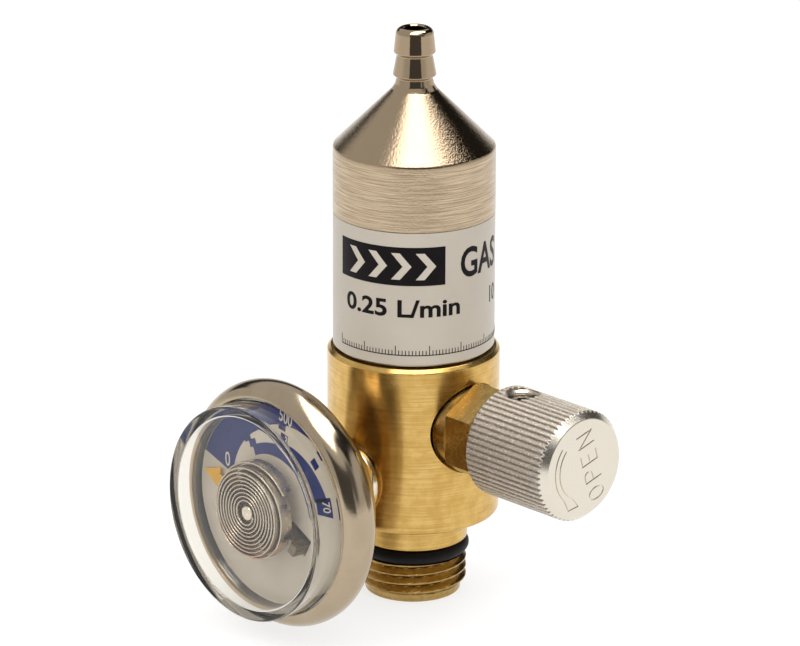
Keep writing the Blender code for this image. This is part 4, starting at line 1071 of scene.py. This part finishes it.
def letter_strokes():
    """Strokes of the word OPEN and of the arrow, on the face's own (y, z) about the knob's axis."""
    # Each letter has its place along the word, and its strokes in millimetres
    bend = [math.radians(90 - 22.5 * index) for index in range(9)]
    round_o = [(0.9 + 0.9 * math.cos(t), 1.55 + 1.45 * math.sin(t)) for t in
               [math.radians(22.5 * index) for index in range(17)]]
    bowl = [(0.9 + 0.75 * math.cos(t), 2.3 + 0.75 * math.sin(t)) for t in bend]
    letters = [
        (0.0, [round_o]),
        (3.15, [[(0.0, 0.0), (0.0, 3.05)], [(0.0, 3.05), *bowl, (0.0, 1.55)]]),
        (6.0, [[(1.55, 0.0), (0.0, 0.0), (0.0, 3.05), (1.55, 3.05)], [(0.0, 1.55), (1.3, 1.55)]]),
        (8.9, [[(0.0, 0.0), (0.0, 3.05), (1.9, 0.0), (1.9, 3.05)]]),
    ]
    along = Vector((math.cos(WORD_ANGLE), math.sin(WORD_ANGLE)))
    upward = Vector((-along.y, along.x))
    lines = []
    for shift, parts in letters:
        for part in parts:
            lines.append([tuple(WORD_FOOT + along * (shift + x) + upward * y) for x, y in part])
    for radius, start, end in ARROW_ARCS:
        lines.append(arc((0.0, 0.0), radius, start, end, 14))
    for barb in ARROW_BARBS:
        lines.append([*barb, ARROW_TIP])
    return lines


def knob():
    blank = to_mesh("knob", knob_blank())
    rolled = grown(knurl_tree(), {
        "Teeth": KNURL_COUNT, "Radius": KNOB_R * MM, "Depth": KNURL_DEPTH * MM, "Finish": ALUMINIUM}, blank)
    place_mm(rolled, VALVE)
    width, upper, lower = KNOB_HOLE_RIM
    rim = KNOB_SCREW_HOLE_R + width
    hole = revolve([(0.0, KNOB_R + 2.0), (rim, KNOB_R + 2.0), (rim, KNOB_R - upper),
                    (KNOB_SCREW_HOLE_R, KNOB_R - lower), (KNOB_SCREW_HOLE_R, 0.0), (0.0, 0.0)], 64, False)
    hole_mesh = to_mesh("screw_hole", hole, Matrix.Translation((KNOB_SCREW_X, 0.0, KNOB_Z)))
    # The strokes lie on the face: their (y, z) become the knob's own with X outwards
    outwards = Matrix(((0, 0, 1, 0), (1, 0, 0, 0), (0, 1, 0, 0), (0, 0, 0, 1)))
    face = Matrix.Translation((KNOB_HIGH.x, 0.0, KNOB_Z)) @ outwards
    cutters = []
    for line in letter_strokes():
        union = None
        for outline in stroke(line):
            part = to_mesh("stroke", slab(outline, -ENGRAVING_DEPTH, ENGRAVING_DEPTH + 0.5), face)
            union = part if union is None else carve(union, [part], "UNION")
        cutters.append(union)
    mesh = carve(rolled, [hole_mesh] + cutters)
    piece("knurled_knob", mesh, ALUMINIUM, "knob", "knob_aluminium", "knob", sharp=42.0)


def knob_set_screw():
    top = SCREW_HIGH.z
    foot = SCREW_LOW.z
    profile = soften([(0.0, top), (SCREW_R, top, 0.3), (SCREW_R, foot, 0.5), (0.0, foot)])
    place = Matrix.Translation((KNOB_SCREW_X, 0.0, 0.0))
    screw = to_mesh("set_screw", revolve(profile, 64, False), place)
    socket = to_mesh("socket", slab(hexagon(SCREW_KEY_FLATS, 0.0), top - SCREW_KEY_DEPTH, 3.0), place)
    piece("set_screw", carve(screw, [socket]), SCREW_STEEL, "knob", "spring_steel", "knob_set_screw")


def valve_stem():
    profile = soften([
        (0.0, STEM_HIGH.x),
        (STEM_R, STEM_HIGH.x, 0.3),
        (STEM_R, STEM_LOW.x + STEM_HEAD_T),
        (STEM_HIGH.y, STEM_LOW.x + STEM_HEAD_T),
        (STEM_HIGH.y, STEM_LOW.x),
        (0.0, STEM_LOW.x),
    ])
    piece("brass_stem", to_mesh("stem", revolve(profile, 64, False), VALVE), NUT_BRASS, "knob", "body_brass",
          "valve_stem")


# Pressure gauge

def gauge_socket():
    washer_low, washer_high = -WASHER_HIGH.y, -WASHER_LOW.y
    corner = SOCKET_FLATS / math.sqrt(3)
    hex_start = washer_high + 0.3
    front = -SOCKET_LOW.y
    back = -SOCKET_HIGH.y
    neck_end = CASE_BACK_Y + CASE_WALL + 0.3
    profile = soften([
        (SOCKET_NOZZLE_R, front),
        (SOCKET_BLOCK_R, front, 0.15),
        (SOCKET_BLOCK_R, neck_end),
        (SOCKET_NECK_R, neck_end),
        (SOCKET_NECK_R, SOCKET_HEX_END_Y),
        (corner - 0.4, SOCKET_HEX_END_Y, 0.1),
        (corner, SOCKET_HEX_END_Y - 0.4, 0.1),
        (corner, hex_start),
        (SOCKET_THREAD_R, hex_start),
        (SOCKET_THREAD_R, back, 0.6),
        (SOCKET_BORE_R, back),
        (SOCKET_BORE_R, front - 4.0),
        (SOCKET_NOZZLE_R, front - 3.0),
    ], loop=True)
    blank = to_mesh("socket", revolve(profile, 96), GAUGE)
    waste = hex_waste("socket_waste", SOCKET_FLATS, hex_start - 0.15, SOCKET_HEX_END_Y + 0.15, 30.0, GAUGE)
    mesh = edge_rounded(carve(blank, [waste]), 0.1)
    piece("gauge_fitting", mesh, SOCKET_BRASS, "body", "nut_brass", "gauge_socket", sharp=15.0)
    ring = soften([
        (SOCKET_THREAD_R + 0.2, washer_high, 0.1),
        (WASHER_R, washer_high, 0.45),
        (WASHER_R, washer_low, 0.3),
        (SOCKET_THREAD_R + 0.2, washer_low, 0.1),
    ], loop=True)
    piece("sealing_washer", to_mesh("washer", revolve(ring, 96), GAUGE), WASHER_NICKEL, "body",
          "nickel_plate", "gauge_washer")


def gauge_case():
    profile = arc(CASE_BEAD, CASE_BEAD_RADIAL, 86, -80, 40, CASE_BEAD_AXIAL)
    profile += soften([
        profile[-1],
        (CASE_FLANK[0], CASE_BACK_Y + CASE_FLANK[1], 0.8),
        (CASE_SHOULDER[0], CASE_BACK_Y + CASE_SHOULDER[1], 0.6),
        (CASE_BACK_R, CASE_BACK_Y, 0.8),
        (SOCKET_NECK_R + 0.3, CASE_BACK_Y),
    ], steps=6)[1:]
    shell = linked("case", to_mesh("case", revolve(profile, 192, False), GAUGE))
    wall = shell.modifiers.new("wall", "SOLIDIFY")
    wall.thickness = CASE_WALL * MM
    wall.offset = -1.0
    wall.use_even_offset = True
    mesh = edge_rounded(evaluated(shell), 0.14, 3, 50.0)
    piece("rolled_gauge_case", mesh, CASE_NICKEL, "body", "plated_steel", "gauge_case")


def gauge_lens():
    flange_top = LENS_BASE_Y + LENS_FLANGE_T
    inner_r = LENS_R - LENS_WALL
    window = LENS_FRONT_Y - LENS_WINDOW_T
    profile = soften([
        (0.0, LENS_FRONT_Y),
        (LENS_R, LENS_FRONT_Y, 0.3),
        (LENS_R, flange_top, 0.05),
        (LENS_FLANGE_R, flange_top, 0.05),
        (LENS_FLANGE_R, LENS_BASE_Y, 0.05),
        (inner_r, LENS_BASE_Y, 0.1),
        (inner_r, window, 0.35),
        (0.0, window),
    ], steps=8)
    piece("acrylic_lens", to_mesh("lens", revolve(profile, 192, False), GAUGE), ACRYLIC, "body",
          "clear_acrylic", "gauge_lens")


def turned_to(angle):
    """Places a flat shape on the dial, turned about the gauge's axis."""
    return GAUGE @ Matrix.Rotation(math.radians(angle), 4, "Z")


def gauge_dial():
    profile = soften([
        (DIAL_HOLE_R, DIAL_FRONT_Y),
        (DIAL_R, DIAL_FRONT_Y, 0.05),
        (DIAL_R, DIAL_FRONT_Y - DIAL_T, 0.05),
        (DIAL_HOLE_R, DIAL_FRONT_Y - DIAL_T),
    ])
    blank = to_mesh("dial", revolve(profile, 128), GAUGE)
    near, far, half = DIAL_SLOT
    opening = slab(rectangle(near, -half, far, half), DIAL_FRONT_Y - 2.0, 4.0)
    mesh = carve(blank, [to_mesh("slot", opening, turned_to(DIAL_SLOT_ANGLE))])
    piece("dial_plate", mesh, DIAL_ENAMEL, "body", "dial_paint", "gauge_dial")


def block_tree():
    """Row of graduation blocks along an arc."""
    tree, given = geometry_tree("graduation_blocks", [
        ("Count", "NodeSocketInt", 4),
        ("Radius", "NodeSocketFloat", 0.01),
        ("Radius Step", "NodeSocketFloat", 0.0),
        ("Start", "NodeSocketFloat", 0.0),
        ("Step", "NodeSocketFloat", 0.1),
        ("Size", "NodeSocketVector", (0.001, 0.001, 0.001)),
        ("Height", "NodeSocketFloat", 0.0),
        ("Finish", "NodeSocketMaterial", None),
    ])
    points = add_node(tree, "GeometryNodePoints", {"Count": given["Count"]})
    index = add_node(tree, "GeometryNodeInputIndex")
    angle = add_node(tree, "ShaderNodeMath", {
        0: index, 1: given["Step"], 2: given["Start"]}, operation="MULTIPLY_ADD")
    radius = add_node(tree, "ShaderNodeMath", {
        0: index, 1: given["Radius Step"], 2: given["Radius"]}, operation="MULTIPLY_ADD")
    cosine = add_node(tree, "ShaderNodeMath", {0: angle}, operation="COSINE")
    sine = add_node(tree, "ShaderNodeMath", {0: angle}, operation="SINE")
    across = add_node(tree, "ShaderNodeMath", {0: cosine, 1: radius}, operation="MULTIPLY")
    upward = add_node(tree, "ShaderNodeMath", {0: sine, 1: radius}, operation="MULTIPLY")
    place = add_node(tree, "ShaderNodeCombineXYZ", {0: across, 1: upward, 2: given["Height"]})
    spread = add_node(tree, "GeometryNodeSetPosition", {"Geometry": points, "Position": place})
    turn = add_node(tree, "ShaderNodeCombineXYZ", {2: angle})
    block = add_node(tree, "GeometryNodeMeshCube", {"Size": given["Size"]})
    rows = add_node(tree, "GeometryNodeInstanceOnPoints", {
        "Points": spread, "Instance": block, "Rotation": turn})
    finish_tree(tree, rows, given["Finish"])
    return tree


def growing(near, far, start, end, power=1.0):
    """Radius as a function of the angle in degrees, from near at the start to far at the end."""
    def radius(angle):
        share = max(0.0, min(1.0, (start - angle) / (start - end)))
        return near + (far - near) * share ** power
    return radius


def dial_print():
    """Two concentric plain scales in blue on the dial, with plain numbers."""
    low = DIAL_FRONT_Y - DIAL_PRINT_SINK
    thick = DIAL_PRINT_T
    fields = [
        sector(growing(8.7, 15.1, 152.0, 40.0, 1.1), 15.2, 160.0, 46.0, low, thick),
        sector(growing(7.6, 8.9, 113.0, 17.0), growing(9.1, 11.8, 113.0, 17.0), 113.0, 17.0, low, thick),
        sector(9.3, 12.6, 20.0, 6.5, low, thick),
        sector(13.85, 14.5, 19.0, 6.5, low, thick),
    ]
    whole = bmesh.new()
    whole.from_mesh(to_mesh("fields", joined(fields), GAUGE))
    tree = block_tree()
    for radius, growth, start, step in DIAL_ROWS:
        row = grown(tree, {
            "Count": 3, "Radius": radius * MM, "Radius Step": growth * MM, "Start": math.radians(start),
            "Step": math.radians(step), "Size": tuple(size * MM for size in (*DIAL_BLOCK, thick)),
            "Height": (low + thick / 2) * MM, "Finish": DIAL_BLUE})
        place_mm(row, GAUGE)
        whole.from_mesh(row)
    blue = bpy.data.meshes.new("dial_blue")
    whole.to_mesh(blue)
    whole.free()
    piece("dial_blue_print", blue, DIAL_BLUE, "body", "dial_paint")
    numbers = []
    for words, radius, angle, lean, size in DIAL_NUMBERS:
        shape = lettering(words, size, DIAL_FIGURE_T, DIAL_FIGURE_WEIGHT, "CENTER", DIAL_FIGURE_STRETCH)
        bmesh.ops.translate(shape, verts=shape.verts, vec=(0.0, -size * 0.36, 0.0))
        spot = Matrix.Rotation(math.radians(angle), 4, "Z") @ Vector((radius, 0.0, low + 0.012))
        place = Matrix.Translation(spot) @ Matrix.Rotation(math.radians(lean), 4, "Z")
        bmesh.ops.transform(shape, matrix=place, verts=shape.verts)
        numbers.append(shape)
    piece("dial_numbers", to_mesh("numbers", joined(numbers), GAUGE), DIAL_WHITE, "body", "dial_paint")


def spiral_tree():
    """Flat tube wound as a spiral in local XY, of a width along Z."""
    tree, given = geometry_tree("clock_spring_tube", [
        ("Turns", "NodeSocketFloat", 6.0),
        ("Start Radius", "NodeSocketFloat", 0.001),
        ("End Radius", "NodeSocketFloat", 0.007),
        ("Thickness", "NodeSocketFloat", 0.0003),
        ("Width", "NodeSocketFloat", 0.004),
        ("Flat Turns", "NodeSocketFloat", 5.0),
        ("Step Back", "NodeSocketFloat", 0.0005),
        ("Finish", "NodeSocketMaterial", None),
    ])
    spiral = add_node(tree, "GeometryNodeCurveSpiral", {
        "Resolution": 72, "Rotations": given["Turns"], "Start Radius": given["Start Radius"],
        "End Radius": given["End Radius"], "Height": 0.0})
    place = add_node(tree, "GeometryNodeInputPosition")
    radius = add_node(tree, "ShaderNodeVectorMath", {0: place}, operation="LENGTH")
    turn = add_node(tree, "ShaderNodeMapRange", {
        "Value": radius, "From Min": given["Start Radius"], "From Max": given["End Radius"],
        "To Max": given["Turns"]})
    beyond = add_node(tree, "ShaderNodeMath", {0: turn, 1: given["Flat Turns"]}, operation="SUBTRACT")
    kept = add_node(tree, "ShaderNodeMath", {0: beyond, 1: 0.0}, operation="MAXIMUM")
    drop = add_node(tree, "ShaderNodeMath", {0: kept, 1: given["Step Back"]}, operation="MULTIPLY")
    back = add_node(tree, "ShaderNodeMath", {0: drop, 1: -1.0}, operation="MULTIPLY")
    offset = add_node(tree, "ShaderNodeCombineXYZ", {2: back})
    stepped = add_node(tree, "GeometryNodeSetPosition", {"Geometry": spiral, "Offset": offset})
    upright = add_node(tree, "GeometryNodeSetCurveNormal", {0: stepped}, mode="Z_UP")
    section = add_node(tree, "GeometryNodeCurvePrimitiveQuadrilateral", {
        "Width": given["Thickness"], "Height": given["Width"]})
    corner = add_node(tree, "ShaderNodeMath", {0: given["Thickness"], 1: 0.48}, operation="MULTIPLY")
    rounded = add_node(tree, "GeometryNodeFilletCurve", {
        "Curve": section, "Radius": corner, "Count": 3}, mode="POLY")
    tube = add_node(tree, "GeometryNodeCurveToMesh", {
        "Curve": upright, "Profile Curve": rounded, "Fill Caps": True})
    finish_tree(tree, tube, given["Finish"])
    return tree


def spiral_tube():
    middle = TUBE_INNER_R + TUBE_T / 2
    mesh = grown(spiral_tree(), {
        "Turns": TUBE_TURNS,
        "Start Radius": middle * MM, "End Radius": (middle + TUBE_PITCH * TUBE_TURNS) * MM,
        "Thickness": TUBE_T * MM, "Width": TUBE_STRIP_WIDTH * MM, "Flat Turns": TUBE_FLAT_TURNS,
        "Step Back": TUBE_STEP_BACK * MM, "Finish": TUBE_BRONZE})
    lift = Matrix.Translation((0.0, 0.0, TUBE_BASE_Y + TUBE_DEPTH - TUBE_STRIP_WIDTH / 2))
    turn = turned_to(TUBE_END_ANGLE - 360.0 * TUBE_TURNS)
    place_mm(mesh, turn @ lift)
    piece("wound_pressure_tube", mesh, TUBE_BRONZE, "body", "tube_bronze", "spiral_tube")


def pointer():
    back = -POINTER_HIGH.y
    thickness = POINTER_HIGH.y - POINTER_LOW.y
    neck = POINTER_R - POINTER_HEAD[0]
    boss = arc((0.0, 0.0), POINTER_BOSS_R, 21.5, 338.5, 24)
    outline = [(POINTER_R, 0.0), (neck, POINTER_HEAD[1]), (neck, POINTER_ARM), *boss,
               (neck, -POINTER_ARM), (neck, -POINTER_HEAD[1])]
    blade = to_mesh("pointer", slab(outline, back, thickness), turned_to(POINTER_ANGLE))
    bored = [(0.0, back + 2.0), (POINTER_HOLE_R, back + 2.0), (POINTER_HOLE_R, back - 1.0), (0.0, back - 1.0)]
    hole = revolve(bored, 32, False)
    mesh = edge_rounded(carve(blade, [to_mesh("hole", hole, GAUGE)]), 0.04, 1)
    piece("pointer_blade", mesh, POINTER_YELLOW, "pointer", "pointer_yellow", "pointer")
    front = -HUB_LOW.y
    profile = soften([
        (0.0, front),
        (HUB_R, front, 0.4),
        (HUB_R, TUBE_BASE_Y, 0.05),
        (ARBOR_R, TUBE_BASE_Y),
        (ARBOR_R, -HUB_HIGH.y, 0.1),
        (0.0, -HUB_HIGH.y),
    ])
    piece("hub_arbor", to_mesh("hub", revolve(profile, 48, False), GAUGE), WASHER_NICKEL, "pointer",
          "nut_brass", "pointer_hub")


def inner_pieces():
    """Finishes of the solids that stay: they are hidden inside, or show only through the lens."""
    finishes = {
        "tube_post": (POST_BRASS, "nut_brass"),
        "flow_orifice": (INNER_BRASS, "body_brass"),
        "piston": (INNER_BRASS, "body_brass"),
        "piston_head_seal": (RUBBER, "seal_rubber"),
        "piston_stem_seal": (RUBBER, "seal_rubber"),
        "piston_seat": (NYLON, "white_nylon"),
        "seat_plug": (NYLON, "white_nylon"),
        "stem_packing": (NYLON, "white_nylon"),
    }
    for node, (finish, slot) in finishes.items():
        NODES[node].data.materials[0] = finish


def regulating_spring():
    """Coil under the piston's head, made from the solid's mesh with its doubled points merged."""
    coil = bmesh.new()
    coil.from_mesh(NODES["regulating_spring"].data)
    bmesh.ops.remove_doubles(coil, verts=coil.verts, dist=0.001 * MM)
    mesh = bpy.data.meshes.new("spring")
    coil.to_mesh(mesh)
    coil.free()
    spring = piece("coil_spring", mesh, SPRING_STEEL, "body", "spring_steel", "regulating_spring", sharp=60.0)
    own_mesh(spring)


# Camera, floor and light

CAMERA_PLACE = Vector((0.54018, -0.51367, 0.29311))
CAMERA_AZIMUTH = math.radians(46.441)
CAMERA_ELEVATION = math.radians(18.559)
CAMERA_ROLL = 0.004
FOCAL_PIXELS = 5359.0
CENTRE_OFFSET = (13.68, -10.2)
IMAGE_WIDTH = 800
TABLE_R = 600.0
TABLE_GREY = 0.32
TABLE_GLOW = 0.72

# What lights the object, and what metal reflects: brightness, where 1 is white
ROOM_LIGHT = 0.72
SOFT_LIGHT = 0.85
SKYLIGHT = 5.0
SKYLIGHT_SKEW = 0.42
KEY_LAMP = ((0.05, -0.75, 0.8), 3.6)
SIDE_LAMP = ((0.8, 0.1, 0.5), 1.6)
LAMP_SIZE = 0.5
LAMP_TARGET = Vector((0.0, 0.0, 0.04))


def camera():
    """Camera of the photograph: a long lens, a little above the gauge, between it and the knob."""
    away = Vector((math.sin(CAMERA_AZIMUTH) * math.cos(CAMERA_ELEVATION),
                   -math.cos(CAMERA_AZIMUTH) * math.cos(CAMERA_ELEVATION), math.sin(CAMERA_ELEVATION)))
    level = Vector((math.cos(CAMERA_AZIMUTH), math.sin(CAMERA_AZIMUTH), 0.0))
    upright = away.cross(level)
    right = level * math.cos(CAMERA_ROLL) + upright * math.sin(CAMERA_ROLL)
    top = upright * math.cos(CAMERA_ROLL) - level * math.sin(CAMERA_ROLL)
    data = bpy.data.cameras.new("camera")
    data.sensor_width = 36.0
    data.lens = FOCAL_PIXELS * data.sensor_width / IMAGE_WIDTH
    data.shift_x = -CENTRE_OFFSET[0] / IMAGE_WIDTH
    data.shift_y = CENTRE_OFFSET[1] / IMAGE_WIDTH
    data.clip_start = 0.01
    data.clip_end = 20.0
    view = linked("camera", data)
    turn = Matrix((right, top, away)).transposed().to_4x4()
    view.matrix_world = Matrix.Translation(CAMERA_PLACE) @ turn
    bpy.context.scene.camera = view


def floor():
    """White table that stays white in the picture and takes a soft shadow."""
    shape = bmesh.new()
    bmesh.ops.create_circle(shape, cap_ends=True, radius=TABLE_R, segments=96)
    material = bpy.data.materials.new("white_table")
    material.use_nodes = True
    tree = material.node_tree
    tree.nodes.clear()
    rays = add_node(tree, "ShaderNodeLightPath")
    seen = add_node(tree, "ShaderNodeMath", {
        0: rays.outputs["Is Camera Ray"], 1: rays.outputs["Is Glossy Ray"]}, operation="MAXIMUM")
    shown = add_node(tree, "ShaderNodeMath", {
        0: seen, 1: rays.outputs["Is Transmission Ray"]}, operation="MAXIMUM")
    strength = add_node(tree, "ShaderNodeMath", {0: shown, 1: TABLE_GLOW}, operation="MULTIPLY")
    matt = add_node(tree, "ShaderNodeBsdfDiffuse", {"Color": (TABLE_GREY, TABLE_GREY, TABLE_GREY, 1.0)})
    glow = add_node(tree, "ShaderNodeEmission", {"Color": (1.0, 1.0, 1.0, 1.0), "Strength": strength})
    both = add_node(tree, "ShaderNodeAddShader", {0: matt, 1: glow})
    add_node(tree, "ShaderNodeOutputMaterial", {"Surface": both})
    table = linked("table", to_mesh("table", shape))
    table.data.materials.append(material)


def world():
    """White surroundings, with a darker studio in what bright metal reflects."""
    surroundings = bpy.data.worlds.new("studio")
    bpy.context.scene.world = surroundings
    surroundings.use_nodes = True
    tree = surroundings.node_tree
    tree.nodes.clear()
    rays = add_node(tree, "ShaderNodeLightPath")
    way = add_node(tree, "ShaderNodeTexCoord").outputs["Generated"]
    toward = (math.sin(CAMERA_AZIMUTH), -math.cos(CAMERA_AZIMUTH), 0.0)
    rightward = (math.cos(CAMERA_AZIMUTH), math.sin(CAMERA_AZIMUTH), 0.0)
    height = add_node(tree, "ShaderNodeSeparateXYZ", {0: way}).outputs["Z"]
    front = add_node(tree, "ShaderNodeVectorMath", {0: way, 1: toward}, operation="DOT_PRODUCT")
    right = add_node(tree, "ShaderNodeVectorMath", {0: way, 1: rightward}, operation="DOT_PRODUCT")
    skew = add_node(tree, "ShaderNodeMath", {0: front, 1: SKYLIGHT_SKEW, 2: right}, operation="MULTIPLY_ADD")

    # Table below and near the horizon, dark card behind, to the right and in front, then the skylight:
    # each a brightness inside limits of (direction, start, end, softness)
    patches = [
        (1.0, (height, -2.0, 0.03, 0.02)),
        (0.03, (front, -2.0, -0.5, 0.06), (height, 0.17, 0.42, 0.015), (right, -0.66, 0.85, 0.02)),
        (0.02, (front, -0.9, 0.3, 0.04), (height, 0.4, 0.87, 0.015), (right, 0.3, 0.82, 0.03)),
        (0.17, (front, 0.35, 0.72, 0.06), (height, 0.12, 0.66, 0.05), (right, 0.52, 0.84, 0.05)),
        (0.11, (front, 0.6, 2.0, 0.04), (right, -0.47, 0.6, 0.02), (height, -0.17, 0.58, 0.03)),
        (SKYLIGHT, (height, 0.79, 2.0, 0.01), (skew, -0.21, 0.5, 0.01)),
    ]
    room = ROOM_LIGHT
    for brightness, *limits in patches:
        mask = 1.0
        for direction, start, end, soft in limits:
            for edge, before, after in ((start, 0.0, 1.0), (end, 1.0, 0.0)):
                side = add_node(tree, "ShaderNodeMapRange", {
                    "Value": direction, "From Min": edge - soft, "From Max": edge + soft,
                    "To Min": before, "To Max": after}, interpolation_type="SMOOTHSTEP")
                mask = add_node(tree, "ShaderNodeMath", {0: mask, 1: side}, operation="MULTIPLY")
        room = add_node(tree, "ShaderNodeMix", {0: mask, 2: room, 3: brightness}, data_type="FLOAT")
    clear = add_node(tree, "ShaderNodeMath", {
        0: rays.outputs["Is Camera Ray"], 1: rays.outputs["Is Transmission Ray"]}, operation="MAXIMUM")
    shaded = add_node(tree, "ShaderNodeMix", {
        0: rays.outputs["Is Diffuse Ray"], 2: room, 3: SOFT_LIGHT}, data_type="FLOAT")
    strength = add_node(tree, "ShaderNodeMix", {0: clear, 2: shaded, 3: 1.0}, data_type="FLOAT")
    light = add_node(tree, "ShaderNodeBackground", {"Color": (1.0, 1.0, 1.0, 1.0), "Strength": strength})
    add_node(tree, "ShaderNodeOutputWorld", {"Surface": light})


def lamp(name, place, power):
    """Soft lamp that looks at the regulator's middle."""
    data = bpy.data.lights.new(name, "AREA")
    data.shape = "DISK"
    data.size = LAMP_SIZE
    data.energy = power
    obj = linked(name, data)
    obj.location = place
    obj.rotation_euler = (LAMP_TARGET - Vector(place)).to_track_quat("-Z", "Y").to_euler()
    obj.visible_glossy = False


def studio():
    camera()
    floor()
    world()
    lamp("key_lamp", *KEY_LAMP)
    lamp("side_lamp", *SIDE_LAMP)
    bpy.context.scene.view_settings.view_transform = "Standard"


valve_body()
seals_and_filter()
bonnet()
bonnet_label()
label_print()
packing_nut()
valve_stem()
knob()
knob_set_screw()
gauge_socket()
gauge_case()
gauge_lens()
gauge_dial()
dial_print()
spiral_tube()
pointer()
inner_pieces()
regulating_spring()
studio()
